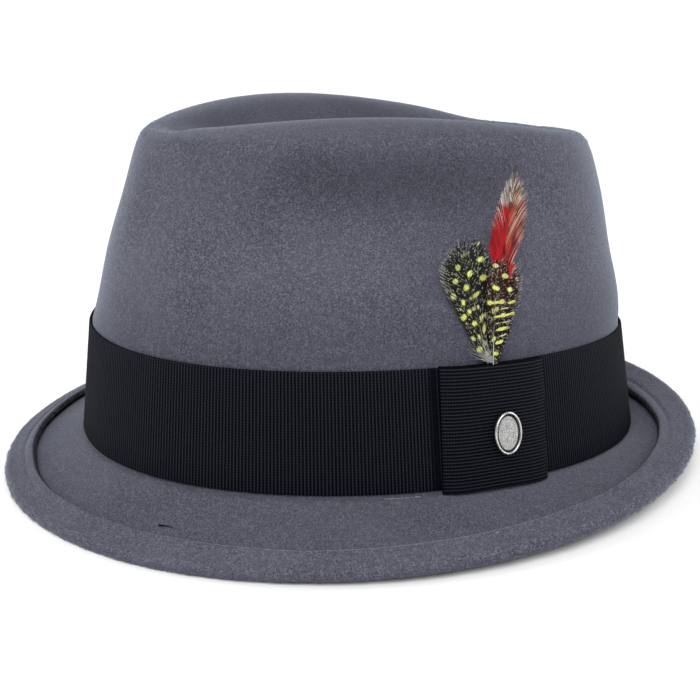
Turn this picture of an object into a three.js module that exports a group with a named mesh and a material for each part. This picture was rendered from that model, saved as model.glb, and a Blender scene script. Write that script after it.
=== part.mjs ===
// A felt trilby with a turned-over brim edge, a ribbed ribbon band, a flat bow wrap, an oval pin
// and a small bunch of feathers. Millimetres, +Z up. The front of the hat is -Y, the wearer's left
// is +X, and the hat rests on z = 0. A turn of 0 is the front, 90 degrees the wearer's left.
import * as THREE from 'three';

// felt body
const FOOT_LENGTH = 201.6; // outside of the crown at its foot, front to back
const FOOT_WIDTH = 176; // the same, side to side
const FELT = 2.1; // thickness of the felt
const PRESS = 0.6; // how far the felt is pressed flat where it rests
const CROWN_RISE = 72; // nominal height of the crown above the band
const BRIM_FRONT = 28.3; // reach of the brim, level, from the crown's foot
const BRIM_SIDE = 33;
const BRIM_BACK = 17.6;
const FOOT_LIFT_FRONT = 13.5; // underside of the crown's foot above the table
const FOOT_LIFT_SIDE = 10.4;
const FOOT_LIFT_BACK = 0.3;
const EDGE_LIFT_SIDE = 3.4; // underside of the brim's edge above the table, the front edge rests
const EDGE_LIFT_BACK = 7.2;
const TURNOVER_FRONT = 10.5; // width of the edge folded back on top of the brim
const TURNOVER_SIDE = 10.5;
const TURNOVER_BACK = 13;
const DENT_DEPTH = 10; // side pinch
const DENT_TURN = THREE.MathUtils.degToRad(71);
const DENT_SPREAD = THREE.MathUtils.degToRad(41);

// ribbon band and bow
const BAND_WIDTH = 38.4;
const BAND_THICKNESS = 0.9;
const BAND_TAPER = 4.7; // how much nearer the middle the band's top edge stands than its foot
const BOW_TURN = THREE.MathUtils.degToRad(87.7);
const BOW_WIDTH = 39.5;
const BOW_THICKNESS = 1.2;
const BOW_OVER = 0.8; // above the band's top edge
const POCKET = 1.7; // room behind the bow for the feathers' roots

// pin
const PIN_WIDTH = 10.6;
const PIN_HEIGHT = 14.2;
const PIN_THICKNESS = 1.8;
const PIN_ACROSS = 3; // from the bow's middle, towards the back of the hat
const PIN_UP = 16.8; // from the band's foot
const PIN_RIM = 0.9; // width of the raised rim
const PIN_GROOVE = 0.5; // depth and width of the groove inside the rim

// feathers
const FEATHER_TURN = THREE.MathUtils.degToRad(86.8); // where the bunch leaves the band
const FEATHER_LEAN = THREE.MathUtils.degToRad(15);
const FEATHER_THICKNESS = 0.5;
const ROOT_DEPTH = 4; // tucked behind the bow
const LEFT_LENGTH = 36;
const RIGHT_LENGTH = 33;
const HACKLE_LENGTH = 37;
const PARTING = 19; // height above the band from which the feathers lie apart
const TUFT_LENGTH = 11;

const GAP = 0.3; // between neighbouring pieces

// Crown sections above the band, from the band up over the ridge and down into the hollow.
// front, back: shares of half the foot's length; side: share of half its width; narrow: share by
// which the front is narrower; the rises are shares of CROWN_RISE, the dent a share of DENT_DEPTH.
const crownTable = [
  { front: 0.925, back: 0.964, side: 0.933, narrow: 0.03, riseF: 0.116, riseS: 0.131, riseB: 0.124, dent: 0 },
  { front: 0.892, back: 0.93, side: 0.876, narrow: 0.01, riseF: 0.367, riseS: 0.35, riseB: 0.327, dent: -0.05 },
  { front: 0.838, back: 0.916, side: 0.826, narrow: 0.05, riseF: 0.628, riseS: 0.55, riseB: 0.553, dent: 1.7 },
  { front: 0.792, back: 0.887, side: 0.764, narrow: 0.07, riseF: 0.822, riseS: 0.77, riseB: 0.752, dent: 0.9 },
  { front: 0.764, back: 0.86, side: 0.704, narrow: 0.1, riseF: 0.89, riseS: 0.912, riseB: 0.87, dent: 0 },
  { front: 0.74, back: 0.808, side: 0.629, narrow: 0.16, riseF: 0.908, riseS: 0.968, riseB: 0.895, dent: 0 },
  { front: 0.69, back: 0.732, side: 0.502, narrow: 0.25, riseF: 0.935, riseS: 1, riseB: 0.875, dent: 0 },
  { front: 0.581, back: 0.639, side: 0.365, narrow: 0.35, riseF: 0.94, riseS: 0.965, riseB: 0.818, dent: 0 },
  { front: 0.397, back: 0.496, side: 0.227, narrow: 0.35, riseF: 0.87, riseS: 0.8, riseB: 0.69, dent: 0 },
  { front: 0.149, back: 0.248, side: 0.08, narrow: 0.3, riseF: 0.78, riseS: 0.71, riseB: 0.64, dent: 0 },
  { front: 0, back: 0, side: 0, narrow: 0, riseF: 0.69, riseS: 0.69, riseB: 0.69, dent: 0 },
];
// Feather outlines. along: share of the length above the band; left, right: reach across, as
// shares of the length.
const leftOutline = [
  { along: 0, left: 0.02, right: 0.03 },
  { along: 0.14, left: 0.08, right: 0.07 },
  { along: 0.3, left: 0.16, right: 0.12 },
  { along: 0.5, left: 0.24, right: 0.16 },
  { along: 0.7, left: 0.3, right: 0.17 },
  { along: 0.88, left: 0.31, right: 0.14 },
  { along: 1, left: 0.12, right: 0.08 },
];
const rightOutline = [
  { along: 0, left: -0.01, right: 0.07 },
  { along: 0.14, left: 0.01, right: 0.17 },
  { along: 0.3, left: 0.0, right: 0.29 },
  { along: 0.5, left: -0.02, right: 0.39 },
  { along: 0.7, left: -0.06, right: 0.46 },
  { along: 0.88, left: -0.12, right: 0.47 },
  { along: 1, left: -0.2, right: 0.34 },
];
const hackleOutline = [
  { along: 0, left: -0.3, right: 0.35 },
  { along: 0.18, left: -0.22, right: 0.45 },
  { along: 0.4, left: -0.2, right: 0.56 },
  { along: 0.62, left: -0.3, right: 0.6 },
  { along: 0.82, left: -0.4, right: 0.6 },
  { along: 1, left: -0.48, right: 0.56 },
];
const tuftOutline = [
  { along: 0, left: 0.1, right: 0.1 },
  { along: 0.35, left: 0.55, right: 0.05 },
  { along: 0.75, left: 0.75, right: -0.2 },
  { along: 1, left: 0.72, right: -0.45 },
];

const TURNS = 80;
const edgeRadius = FELT + 0.15;
const halfLength = FOOT_LENGTH / 2;
const halfWidth = FOOT_WIDTH / 2;
const setBack = (BRIM_FRONT - BRIM_BACK) / 2; // puts the middle of the whole hat on x = y = 0
const bandFace = GAP + BAND_THICKNESS; // band's outer face from the felt
const wallLean = Math.atan2(BAND_TAPER, BAND_WIDTH);

// A value round the hat from its front, side and back values
function round(t, front, side, back) {
  const c = Math.cos(t);
  return side + ((front - back) / 2) * c + ((front + back) / 2 - side) * c * c;
}
const footHeight = (t) =>
  round(t, FOOT_LIFT_FRONT, FOOT_LIFT_SIDE, FOOT_LIFT_BACK) + FELT - PRESS;
const edgeHeight = (t) => round(t, 0, EDGE_LIFT_SIDE, EDGE_LIFT_BACK) + edgeRadius - PRESS;
const brimReach = (t) => round(t, BRIM_FRONT, BRIM_SIDE, BRIM_BACK) - edgeRadius;
const turnover = (t) => round(t, TURNOVER_FRONT, TURNOVER_SIDE, TURNOVER_BACK) - edgeRadius;

// Level outward direction of the crown's foot
function outward(t) {
  return new THREE.Vector3(Math.sin(t) / halfWidth, -Math.cos(t) / halfLength, 0).normalize();
}
// A point on the foot's oval, drawn in by inset and moved out by proud
function oval(t, inset, proud, z) {
  return new THREE.Vector3(
    (halfWidth - inset) * Math.sin(t),
    -(halfLength - inset) * Math.cos(t) + setBack,
    z,
  ).addScaledVector(outward(t), proud);
}
// A point of the crown's wall behind the band, share 0 at the foot and 1 at the band's top
function wall(t, share, proud) {
  return oval(t, BAND_TAPER * share, proud, footHeight(t) + BAND_WIDTH * share);
}
// Top of the lower felt layer of the brim, at a level distance from the foot
function brimLine(t, distance) {
  const s = distance / brimReach(t);
  const [foot, edge] = [footHeight(t), edgeHeight(t)];
  const bend = edge + (foot - edge) * round(t, 0.2, 0.34, 0.28);
  const z = (1 - s) ** 2 * foot + 2 * s * (1 - s) * bend + s * s * edge;
  const slope = (2 * (1 - s) * (bend - foot) + 2 * s * (edge - bend)) / brimReach(t);
  return { point: oval(t, 0, distance, z), slope };
}
// The same line moved off along its normal, never below the table
function brimOff(t, distance, off) {
  const { point, slope } = brimLine(t, distance);
  const flat = 1 / Math.hypot(1, slope);
  point.addScaledVector(outward(t), -slope * flat * off);
  point.z = Math.max(0, point.z + flat * off);
  return point;
}

// Uniform clamped cubic B-spline weights for a share u along n control sections
function splineWeights(u, n) {
  const spans = n - 3;
  const knot = (i) => Math.min(Math.max(i - 3, 0), spans) / spans;
  let weights = [];
  for (let i = 0; i < n + 3; i++) weights.push(knot(i) <= u && u < knot(i + 1) ? 1 : 0);
  for (let degree = 1; degree <= 3; degree++) {
    weights = weights.slice(0, -1).map((w, i) => {
      const [a, b] = [knot(i + degree) - knot(i), knot(i + degree + 1) - knot(i + 1)];
      return (
        (a > 0 ? ((u - knot(i)) / a) * w : 0) +
        (b > 0 ? ((knot(i + degree + 1) - u) / b) * weights[i + 1] : 0)
      );
    });
  }
  if (u >= 1) weights = weights.map((w, i) => (i === n - 1 ? 1 : 0));
  return weights;
}
function crownControl(t, row) {
  const middle = ((row.front + row.back) / 2) * halfLength;
  const shift = ((row.front - row.back) / 2) * halfLength;
  const [c, s] = [Math.cos(t), Math.sin(t)];
  const sideFoot = footHeight(Math.PI / 2);
  const base = sideFoot + ((footHeight(t) - sideFoot) * (row.front + row.back)) / 2;
  const away = Math.abs(Math.abs(Math.atan2(s, c)) - DENT_TURN);
  const dent = DENT_DEPTH * row.dent * Math.exp(-((away / DENT_SPREAD) ** 3));
  return new THREE.Vector3(
    row.side * halfWidth * s * (1 - row.narrow * c),
    -middle * c - shift * c * c + setBack,
    base + BAND_WIDTH + CROWN_RISE * round(t, row.riseF, row.riseS, row.riseB),
  ).addScaledVector(outward(t), -dent);
}
// A point of the crown's outside above the band, u = 0 at the band's top and 1 in the hollow
function crown(t, u) {
  const controls = [wall(t, 1, 0), ...crownTable.map((row) => crownControl(t, row))];
  const weights = splineWeights(u, controls.length);
  return controls.reduce((sum, p, i) => sum.addScaledVector(p, weights[i]), new THREE.Vector3());
}
// Outside normal of the crown, from its own slopes
function crownNormal(t, u) {
  const d = 0.004;
  const along = crown(t + d, u).sub(crown(t - d, u));
  const up = crown(t, Math.min(1, u + d)).sub(crown(t, Math.max(0, u - d)));
  return along.cross(up).normalize();
}

const ringOf = (point) =>
  Array.from({ length: TURNS }, (_, i) => point((i / TURNS) * 2 * Math.PI));

// A closed skin over rings of points, each end brought to one point
function skin(first, rings, last) {
  const n = rings[0].length;
  const points = [first, ...rings.flat(), last];
  const index = [];
  const at = (r, i) => 1 + r * n + (i % n);
  for (let i = 0; i < n; i++) {
    index.push(0, at(0, i), at(0, i + 1));
    for (let r = 0; r + 1 < rings.length; r++) {
      index.push(at(r, i), at(r + 1, i), at(r + 1, i + 1));
      index.push(at(r, i), at(r + 1, i + 1), at(r, i + 1));
    }
    index.push(points.length - 1, at(rings.length - 1, i + 1), at(rings.length - 1, i));
  }
  return solid(points, index);
}
// A closed ring swept through sections, each a closed loop of points
function hoop(sections) {
  const [n, m] = [sections.length, sections[0].length];
  const index = [];
  const at = (i, k) => (i % n) * m + (k % m);
  for (let i = 0; i < n; i++) {
    for (let k = 0; k < m; k++) {
      index.push(at(i, k), at(i + 1, k), at(i + 1, k + 1));
      index.push(at(i, k), at(i + 1, k + 1), at(i, k + 1));
    }
  }
  return solid(sections.flat(), index);
}
// A plate between two grids of points of the same size, back and front
function plate(back, front) {
  const [m, n] = [back.length, back[0].length];
  const points = [...back.flat(), ...front.flat()];
  const at = (side, r, c) => side * m * n + r * n + c;
  const index = [];
  const quad = (a, b, c, d) => index.push(a, b, c, a, c, d);
  for (let r = 0; r + 1 < m; r++) {
    for (let c = 0; c + 1 < n; c++) {
      quad(at(1, r, c), at(1, r, c + 1), at(1, r + 1, c + 1), at(1, r + 1, c));
      quad(at(0, r, c), at(0, r + 1, c), at(0, r + 1, c + 1), at(0, r, c + 1));
    }
    quad(at(0, r, 0), at(1, r, 0), at(1, r + 1, 0), at(0, r + 1, 0));
    quad(at(1, r, n - 1), at(0, r, n - 1), at(0, r + 1, n - 1), at(1, r + 1, n - 1));
  }
  for (let c = 0; c + 1 < n; c++) {
    quad(at(0, 0, c), at(0, 0, c + 1), at(1, 0, c + 1), at(1, 0, c));
    quad(at(1, m - 1, c), at(1, m - 1, c + 1), at(0, m - 1, c + 1), at(0, m - 1, c));
  }
  return solid(points, index);
}
function solid(points, index) {
  const geometry = new THREE.BufferGeometry().setFromPoints(points);
  geometry.setIndex(index);
  geometry.computeVertexNormals();
  return geometry;
}
function mesh(name, geometry, color, roughness, metalness = 0) {
  const piece = new THREE.Mesh(
    geometry,
    new THREE.MeshStandardMaterial({ color, roughness, metalness, side: THREE.DoubleSide }),
  );
  piece.name = name;
  return piece;
}

const hat = new THREE.Group();

// Felt: outside from the hollow down over the ridge to the foot, out over the brim, round the
// folded edge, and back along the underside to the inside of the crown.
const crownSteps = [
  0.9, 0.82, 0.74, 0.68, 0.63, 0.585, 0.545, 0.51, 0.475, 0.44, 0.405, 0.37, 0.33, 0.28, 0.23,
  0.18, 0.12, 0.06,
];
const insideSteps = [...crownSteps].reverse();
const outsideRings = [
  ...crownSteps.map((u) => ringOf((t) => crown(t, u))),
  ringOf((t) => wall(t, 1, 0)),
  ringOf((t) => wall(t, 0, 0)),
  ringOf((t) => brimLine(t, (brimReach(t) - turnover(t)) * 0.5).point),
  ringOf((t) => brimLine(t, brimReach(t) - turnover(t)).point),
  ringOf((t) => brimOff(t, brimReach(t) - turnover(t), edgeRadius)),
  ringOf((t) => brimOff(t, brimReach(t) - turnover(t) / 2, edgeRadius)),
];
const edgeRings = [90, 45, 0, -40, -62, -90].map((degrees) => {
  const a = THREE.MathUtils.degToRad(degrees);
  return ringOf((t) => {
    const { point } = brimLine(t, brimReach(t));
    point.addScaledVector(outward(t), edgeRadius * Math.cos(a));
    point.z = Math.max(0, point.z + edgeRadius * Math.sin(a));
    return point;
  });
});
const underRings = [
  ringOf((t) => brimOff(t, brimReach(t) - edgeRadius / 2, -FELT)),
  ringOf((t) => brimOff(t, brimReach(t) * 0.6, -FELT)),
  ringOf((t) => brimOff(t, brimReach(t) * 0.25, -FELT)),
  ringOf((t) => brimOff(t, 0, -FELT)),
  ringOf((t) => {
    const point = wall(t, 0, -FELT);
    point.z += FELT * 0.5;
    return point;
  }),
  ringOf((t) => wall(t, 1, -FELT)),
];
const insideRings = insideSteps.map((u) =>
  ringOf((t) => crown(t, u).addScaledVector(crownNormal(t, u), -FELT)),
);
const hollow = crown(0, 1);
const underHollow = hollow.clone().add(new THREE.Vector3(0, 0, -FELT));
hat.add(
  mesh(
    'felt_body',
    skin(hollow, [...outsideRings, ...edgeRings, ...underRings, ...insideRings], underHollow),
    0x62626f,
    0.95,
  ),
);

// Lowest height at which a piece this proud of the felt clears the brim
const seat = (t, proud) => Math.max(footHeight(t), brimLine(t, proud).point.z) + GAP;

// Ribbon band, drawn tight round the crown's foot
const bandSections = ringOf((t) => {
  const foot = (seat(t, bandFace) - footHeight(t)) / BAND_WIDTH;
  return [wall(t, foot, GAP), wall(t, foot, bandFace), wall(t, 1, bandFace), wall(t, 1, GAP)];
});
hat.add(mesh('ribbon_band', hoop(bandSections), 0x1b1c22, 0.8));

// Bow wrap: a flat strip round the band, hollow behind its middle for the feathers' roots
const arcScale = halfLength * Math.sin(BOW_TURN); // millimetres per radian beside the bow
const bowShares = [-1, -0.75, -0.5, -0.25, 0, 0.25, 0.5, 0.75, 1];
const bowTurns = bowShares.map((s) => BOW_TURN + (s * BOW_WIDTH) / 2 / arcScale);
const bowBack = (s) => bandFace + GAP + POCKET * (1 - s ** 4);
function bowGrid(thickness) {
  return [0, 0.5, 1].map((up) =>
    bowTurns.map((t, i) => {
      const proud = bowBack(bowShares[i]) + thickness;
      const low = (seat(t, proud) - footHeight(t)) / BAND_WIDTH;
      const high = 1 + BOW_OVER / BAND_WIDTH;
      return wall(t, low + (high - low) * up, proud);
    }),
  );
}
hat.add(mesh('bow_wrap', plate(bowGrid(0), bowGrid(BOW_THICKNESS)), 0x17181d, 0.8));

// A frame that stands on the wall: local X along the hat's turn, Y up the wall, Z out of it
function wallFrame(t, share, proud, lean) {
  const out = outward(t);
  const along = new THREE.Vector3(-out.y, out.x, 0);
  const up = new THREE.Vector3(0, 0, Math.cos(lean)).addScaledVector(out, -Math.sin(lean));
  const frame = new THREE.Group();
  frame.position.copy(wall(t, share, proud));
  frame.quaternion.setFromRotationMatrix(
    new THREE.Matrix4().makeBasis(along, up, new THREE.Vector3().crossVectors(along, up)),
  );
  hat.add(frame);
  return frame;
}

// Oval pin: raised rim, groove and bare field
const pinFace = bowBack(PIN_ACROSS / (BOW_WIDTH / 2)) + BOW_THICKNESS + GAP;
const pinProfile = [
  [PIN_WIDTH / 2 - PIN_RIM - PIN_GROOVE, PIN_THICKNESS - 0.2 - PIN_GROOVE / 3],
  [PIN_WIDTH / 2 - PIN_RIM - PIN_GROOVE / 2, PIN_THICKNESS - 0.2 - PIN_GROOVE],
  [PIN_WIDTH / 2 - PIN_RIM, PIN_THICKNESS - 0.2],
  [PIN_WIDTH / 2 - PIN_RIM / 2, PIN_THICKNESS],
  [PIN_WIDTH / 2 - 0.1, PIN_THICKNESS - 0.3],
  [PIN_WIDTH / 2, 0.3],
  [PIN_WIDTH / 2 - 0.25, 0],
];
const pinRings = pinProfile.map(([radius, z]) =>
  Array.from({ length: 28 }, (_, i) => {
    const a = (i / 28) * 2 * Math.PI;
    const tall = radius + (PIN_HEIGHT - PIN_WIDTH) / 2;
    return new THREE.Vector3(radius * Math.cos(a), tall * Math.sin(a), z);
  }),
);
const pinField = new THREE.Vector3(0, 0, PIN_THICKNESS - 0.1 - PIN_GROOVE / 3);
const pinFrame = wallFrame(
  BOW_TURN + PIN_ACROSS / arcScale,
  PIN_UP / BAND_WIDTH,
  pinFace,
  wallLean,
);
pinFrame.add(
  mesh('oval_pin', skin(pinField, pinRings, new THREE.Vector3(0, 0, 0)), 0xb4b4b6, 0.35, 1),
);

// Feathers: thin plates in a plane that leans with the crown, one layer in front of another. The
// roots keep their own layer behind the bow, and the plates part above it.
const bunch = wallFrame(FEATHER_TURN, 1, bandFace + GAP, FEATHER_LEAN);
function feather(name, outline, { length, start = 0, root = 0, rootLayer, layer }, color) {
  const sink = root * (Math.tan(FEATHER_LEAN) - Math.tan(wallLean)); // the root follows the band
  const layerAt = (y) => rootLayer + (layer - rootLayer) * Math.min(1, Math.max(0, y / PARTING));
  const rows = outline.map(({ along, left, right }) => [start + along * length, left, right, 0]);
  if (root > 0) rows.unshift([-root, outline[0].left, outline[0].right, sink]);
  const grid = (depth) =>
    rows.map(([y, left, right, back]) =>
      [0, 0.5, 1].map((s) => {
        const x = THREE.MathUtils.lerp(-left, right, s) * length;
        return new THREE.Vector3(x, y, layerAt(y) * (FEATHER_THICKNESS + GAP) + depth - back);
      }),
    );
  bunch.add(mesh(name, plate(grid(0), grid(FEATHER_THICKNESS)), color, 0.7));
}
feather(
  'guinea_feather_left',
  leftOutline,
  { length: LEFT_LENGTH, root: ROOT_DEPTH, rootLayer: 0, layer: 0 },
  0x2e3014,
);
feather(
  'guinea_feather_right',
  rightOutline,
  { length: RIGHT_LENGTH, root: ROOT_DEPTH, rootLayer: 1, layer: 2 },
  0x2c1a14,
);
feather(
  'red_hackle',
  hackleOutline,
  { length: HACKLE_LENGTH, start: PARTING + GAP, rootLayer: 1, layer: 1 },
  0x9c2a2e,
);
feather(
  'down_tuft',
  tuftOutline,
  { length: TUFT_LENGTH, start: BOW_OVER + GAP, rootLayer: 2, layer: 3 },
  0xc9c8c6,
);

export default hat;
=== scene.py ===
# %% [markdown]
# # A felt trilby
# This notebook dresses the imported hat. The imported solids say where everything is; here each one
# gets the fine surface of the real thing: brushed felt, a ribbed ribbon, a small silver pin and
# feathers. The hat lies on a plain floor with its front towards -Y, its left side towards +X.

import bpy
import numpy as np
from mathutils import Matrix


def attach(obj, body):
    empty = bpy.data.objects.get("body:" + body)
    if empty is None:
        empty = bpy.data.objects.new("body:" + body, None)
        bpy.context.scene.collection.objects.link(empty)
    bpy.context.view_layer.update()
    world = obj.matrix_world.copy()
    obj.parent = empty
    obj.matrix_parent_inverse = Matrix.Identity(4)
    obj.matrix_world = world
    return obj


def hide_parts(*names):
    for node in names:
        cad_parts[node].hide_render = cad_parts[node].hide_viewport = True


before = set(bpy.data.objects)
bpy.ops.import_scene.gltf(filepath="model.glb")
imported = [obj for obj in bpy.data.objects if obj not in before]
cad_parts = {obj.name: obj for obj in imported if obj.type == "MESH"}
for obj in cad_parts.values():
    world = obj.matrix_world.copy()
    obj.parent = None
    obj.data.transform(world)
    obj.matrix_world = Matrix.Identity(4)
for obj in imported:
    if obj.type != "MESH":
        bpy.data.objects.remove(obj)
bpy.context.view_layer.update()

# %% [markdown]
# The sizes below are in millimetres. They are the ones that the solids were made from, because
# the dressed pieces have to lie on them; only the pin stands 0.9 mm nearer the front and 0.5 mm
# higher here. A turn of 0 is the hat's front, a quarter turn its left. Points are worked out in
# millimetres and only become metres when a mesh is filled.

# %% Sizes of the felt, the ribbon and the bunch
MM = 0.001
FOOT_LENGTH, FOOT_WIDTH = 201.6, 176.0  # outside of the crown at its foot
FELT, PRESS = 2.1, 0.6  # felt thickness, and how far it is pressed flat where it rests
CROWN_RISE = 72.0
BRIM = (28.3, 33.0, 17.6)  # reach of the brim at the front, side and back
FOOT_LIFT = (13.5, 10.4, 0.3)  # underside of the crown's foot above the floor
EDGE_LIFT = (0.0, 3.4, 7.2)  # underside of the brim's edge above the floor
TURNOVER = (10.5, 10.5, 13.0)  # width of the edge folded back on top
DENT_DEPTH, DENT_TURN, DENT_SPREAD = 10.0, np.radians(71), np.radians(41)
BAND_WIDTH, BAND_THICKNESS, BAND_TAPER = 38.4, 0.9, 4.7
BOW_TURN, BOW_WIDTH, BOW_THICKNESS = np.radians(87.7), 39.5, 1.2
BOW_OVER, POCKET = 0.8, 1.7  # above the band's top edge; room behind the bow for the feathers
PIN_WIDTH, PIN_HEIGHT, PIN_RIM, PIN_GROOVE = 10.6, 14.2, 0.9, 0.5
PIN_ACROSS, PIN_UP = 2.1, 17.3  # from the bow's middle towards the back, and up from the band's foot
FEATHER_TURN, FEATHER_LEAN = np.radians(86.8), np.radians(15)
GAP = 0.3  # between neighbouring pieces
RIB = 1.1  # from one rib of the ribbon to the next

half_length, half_width = FOOT_LENGTH / 2, FOOT_WIDTH / 2
edge_radius = FELT + 0.15
set_back = (BRIM[0] - BRIM[2]) / 2
band_face = GAP + BAND_THICKNESS
wall_lean = np.arctan2(BAND_TAPER, BAND_WIDTH)
arc_scale = half_length * np.sin(BOW_TURN)  # millimetres per radian beside the bow
chance = np.random.default_rng(23)
print("width and length in mm:", FOOT_WIDTH + 2 * BRIM[1], FOOT_LENGTH + BRIM[0] + BRIM[2])

# %% [markdown]
# The crown was pressed over a wooden block, so it is one smooth surface. A cubic B-spline through
# a few sections gives the same softness: eleven ovals from the band up over the ridge and down
# into the hollow. Each row holds shares of the hat's length, width, rise and dent.

# %% The crown's sections
# front, back, side, narrow, rise at the front, side and back, dent
CROWN_SECTIONS = np.array([
    [0.925, 0.964, 0.933, 0.03, 0.116, 0.131, 0.124, 0.00],
    [0.892, 0.930, 0.876, 0.01, 0.367, 0.350, 0.327, -0.05],
    [0.838, 0.916, 0.826, 0.05, 0.628, 0.550, 0.553, 1.70],
    [0.792, 0.887, 0.764, 0.07, 0.822, 0.770, 0.752, 0.90],
    [0.764, 0.860, 0.704, 0.10, 0.890, 0.912, 0.870, 0.00],
    [0.740, 0.808, 0.629, 0.16, 0.908, 0.968, 0.895, 0.00],
    [0.690, 0.732, 0.502, 0.25, 0.935, 1.000, 0.875, 0.00],
    [0.581, 0.639, 0.365, 0.35, 0.940, 0.965, 0.818, 0.00],
    [0.397, 0.496, 0.227, 0.35, 0.870, 0.800, 0.690, 0.00],
    [0.149, 0.248, 0.080, 0.30, 0.780, 0.710, 0.640, 0.00],
    [0.000, 0.000, 0.000, 0.00, 0.690, 0.690, 0.690, 0.00],
])
print("crown sections:", len(CROWN_SECTIONS))

# %% Shape of the felt as functions of the turn t
def around(t, values):
    """A value at each turn, from the values at the front, side and back: side plus half the
    difference of front and back times cos t, plus what is left over times cos t squared."""
    front, side, back = values
    c = np.cos(t)
    return side + (front - back) / 2 * c + ((front + back) / 2 - side) * c * c


def foot_height(t):
    """Height of the brim's upper side at the crown's foot."""
    return around(t, FOOT_LIFT) + FELT - PRESS


def brim_reach(t):
    """Level distance from the crown's foot to the middle of the folded edge."""
    return around(t, BRIM) - edge_radius


def flap_start(t):
    """Level distance from the crown's foot to the raw edge of the turned-over flap."""
    return around(t, BRIM) - around(t, TURNOVER)


def outward(t):
    """Level unit vector square to the foot's oval: (sin t / width, -cos t / length), made one long."""
    v = np.stack([np.sin(t) / half_width, -np.cos(t) / half_length, np.zeros_like(t)], -1)
    return v / np.linalg.norm(v, axis=-1, keepdims=True)


def oval(t, inset, proud, z):
    """A point on the foot's oval, drawn in by inset, moved out by proud, at height z."""
    t, inset, proud, z = np.broadcast_arrays(t, inset, proud, z)
    x, y = (half_width - inset) * np.sin(t), -(half_length - inset) * np.cos(t) + set_back
    return np.stack([x, y, z], -1) + outward(t) * proud[..., None]


def wall(t, share, proud):
    """The crown's wall behind the band: share 0 at its foot, 1 at the band's top edge."""
    return oval(t, BAND_TAPER * share, proud, foot_height(t) + BAND_WIDTH * share)


print("crown's foot at the front, side and back:", foot_height(np.radians([0, 90, 180])).round(1))

# %% The brim's section
def brim_line(t, distance):
    """Top of the brim's lower felt layer: a parabola in each upright section, from the foot's
    height to the edge's height. Returns the height and the slope at that distance."""
    reach = brim_reach(t)
    s = distance / reach
    foot, edge = foot_height(t), around(t, EDGE_LIFT) + edge_radius - PRESS
    bend = edge + (foot - edge) * around(t, (0.2, 0.34, 0.28))
    z = (1 - s) ** 2 * foot + 2 * s * (1 - s) * bend + s * s * edge
    return z, (2 * (1 - s) * (bend - foot) + 2 * s * (edge - bend)) / reach


def brim(t, distance, off):
    """A point of the brim: distance out along the brim line, off above it and square to it."""
    z, slope = brim_line(t, distance)
    flat = 1 / np.hypot(1, slope)
    return oval(t, 0, distance - slope * flat * off, np.maximum(z + flat * off, 0))


print("brim 20 mm out at the side:", np.round(brim_line(np.pi / 2, 20.0)[0], 1), "mm up")

# %% The crown as a grid
def spline_weights(u, count):
    """Cubic B-spline weights, one row for each u and one column for each section, by the
    Cox-de Boor recursion on evenly spaced knots with the ends clamped."""
    spans = count - 3
    knots = np.clip(np.arange(count + 4) - 3, 0, spans) / spans
    u = np.minimum(u, 1 - 1e-9)[:, None]
    w = ((knots[:-1] <= u) & (u < knots[1:])).astype(float)
    for degree in (1, 2, 3):
        last = len(knots) - degree
        rise = knots[degree:-1] - knots[: last - 1]
        fall = knots[degree + 1 :] - knots[1:last]
        a = (u - knots[: last - 1]) / np.where(rise > 0, rise, np.inf)
        b = (knots[degree + 1 :] - u) / np.where(fall > 0, fall, np.inf)
        w = a * w[:, :-1] + b * w[:, 1:]
    return w


def crown(t, u):
    """Outside of the crown, rows for u (0 at the band's top, 1 in the hollow), columns for t."""
    front, back, side, narrow, rise_f, rise_s, rise_b, dent = CROWN_SECTIONS.T[:, :, None]
    c, s = np.cos(t), np.sin(t)
    side_foot = foot_height(np.pi / 2)
    base = side_foot + (foot_height(t) - side_foot) * (front + back) / 2
    away = np.abs(np.abs(np.arctan2(s, c)) - DENT_TURN)
    pinch = DENT_DEPTH * dent * np.exp(-((away / DENT_SPREAD) ** 3))
    x = side * half_width * s * (1 - narrow * c)
    y = -(front + back) / 2 * half_length * c - (front - back) / 2 * half_length * c * c + set_back
    z = base + BAND_WIDTH + CROWN_RISE * around(t, (rise_f, rise_s, rise_b))
    rows = np.stack(np.broadcast_arrays(x, y, z), -1) - outward(t) * pinch[..., None]
    rows = np.concatenate([wall(t, 1, 0)[None], rows])
    return np.tensordot(spline_weights(u, len(rows)), rows, 1)


def normals_of(grid):
    """Outward normals of a grid whose columns go round the hat and whose rows go up it."""
    along = np.roll(grid, -1, 1) - np.roll(grid, 1, 1)
    up = np.gradient(grid, axis=0)
    n = np.cross(along, up)
    return n / np.maximum(np.linalg.norm(n, axis=-1, keepdims=True), 1e-9)


sample = crown(np.linspace(0, 6, 60), np.linspace(0, 1, 60))
print("crown's top in mm:", sample[..., 2].max().round(1))

# %% [markdown]
# A mesh is filled from whole arrays. `grid_faces` numbers the four corners of every cell of a
# grid; where the columns close into a ring the last cell goes back to the first column, but its
# pattern coordinate runs on, so that a weave has no seam. `end_fans` closes a ring grid's two
# ends with triangles round a pole.

# %% Faces of a grid
def grid_faces(rows, columns, ring, loop=False):
    """Corner numbers of a grid's quads, and the row and column each corner would have if the
    ring or loop ran on instead of closing."""
    r, c = np.meshgrid(np.arange(rows if loop else rows - 1),
                       np.arange(columns if ring else columns - 1), indexing="ij")
    r, c = r.ravel(), c.ravel()
    rr = np.stack([r, r, r + 1, r + 1], 1)
    cc = np.stack([c, c + 1, c + 1, c], 1)
    return (rr % rows) * columns + cc % columns, rr, cc


def end_fans(rows, columns):
    """Triangles from a ring grid's first and last row to two poles that follow its points."""
    ring = np.arange(columns)
    after = np.roll(ring, -1)
    last, pole = (rows - 1) * columns, np.full(columns, rows * columns)
    return np.concatenate([np.stack([pole, ring, after], 1),
                           np.stack([pole + 1, last + after, last + ring], 1)])


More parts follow.
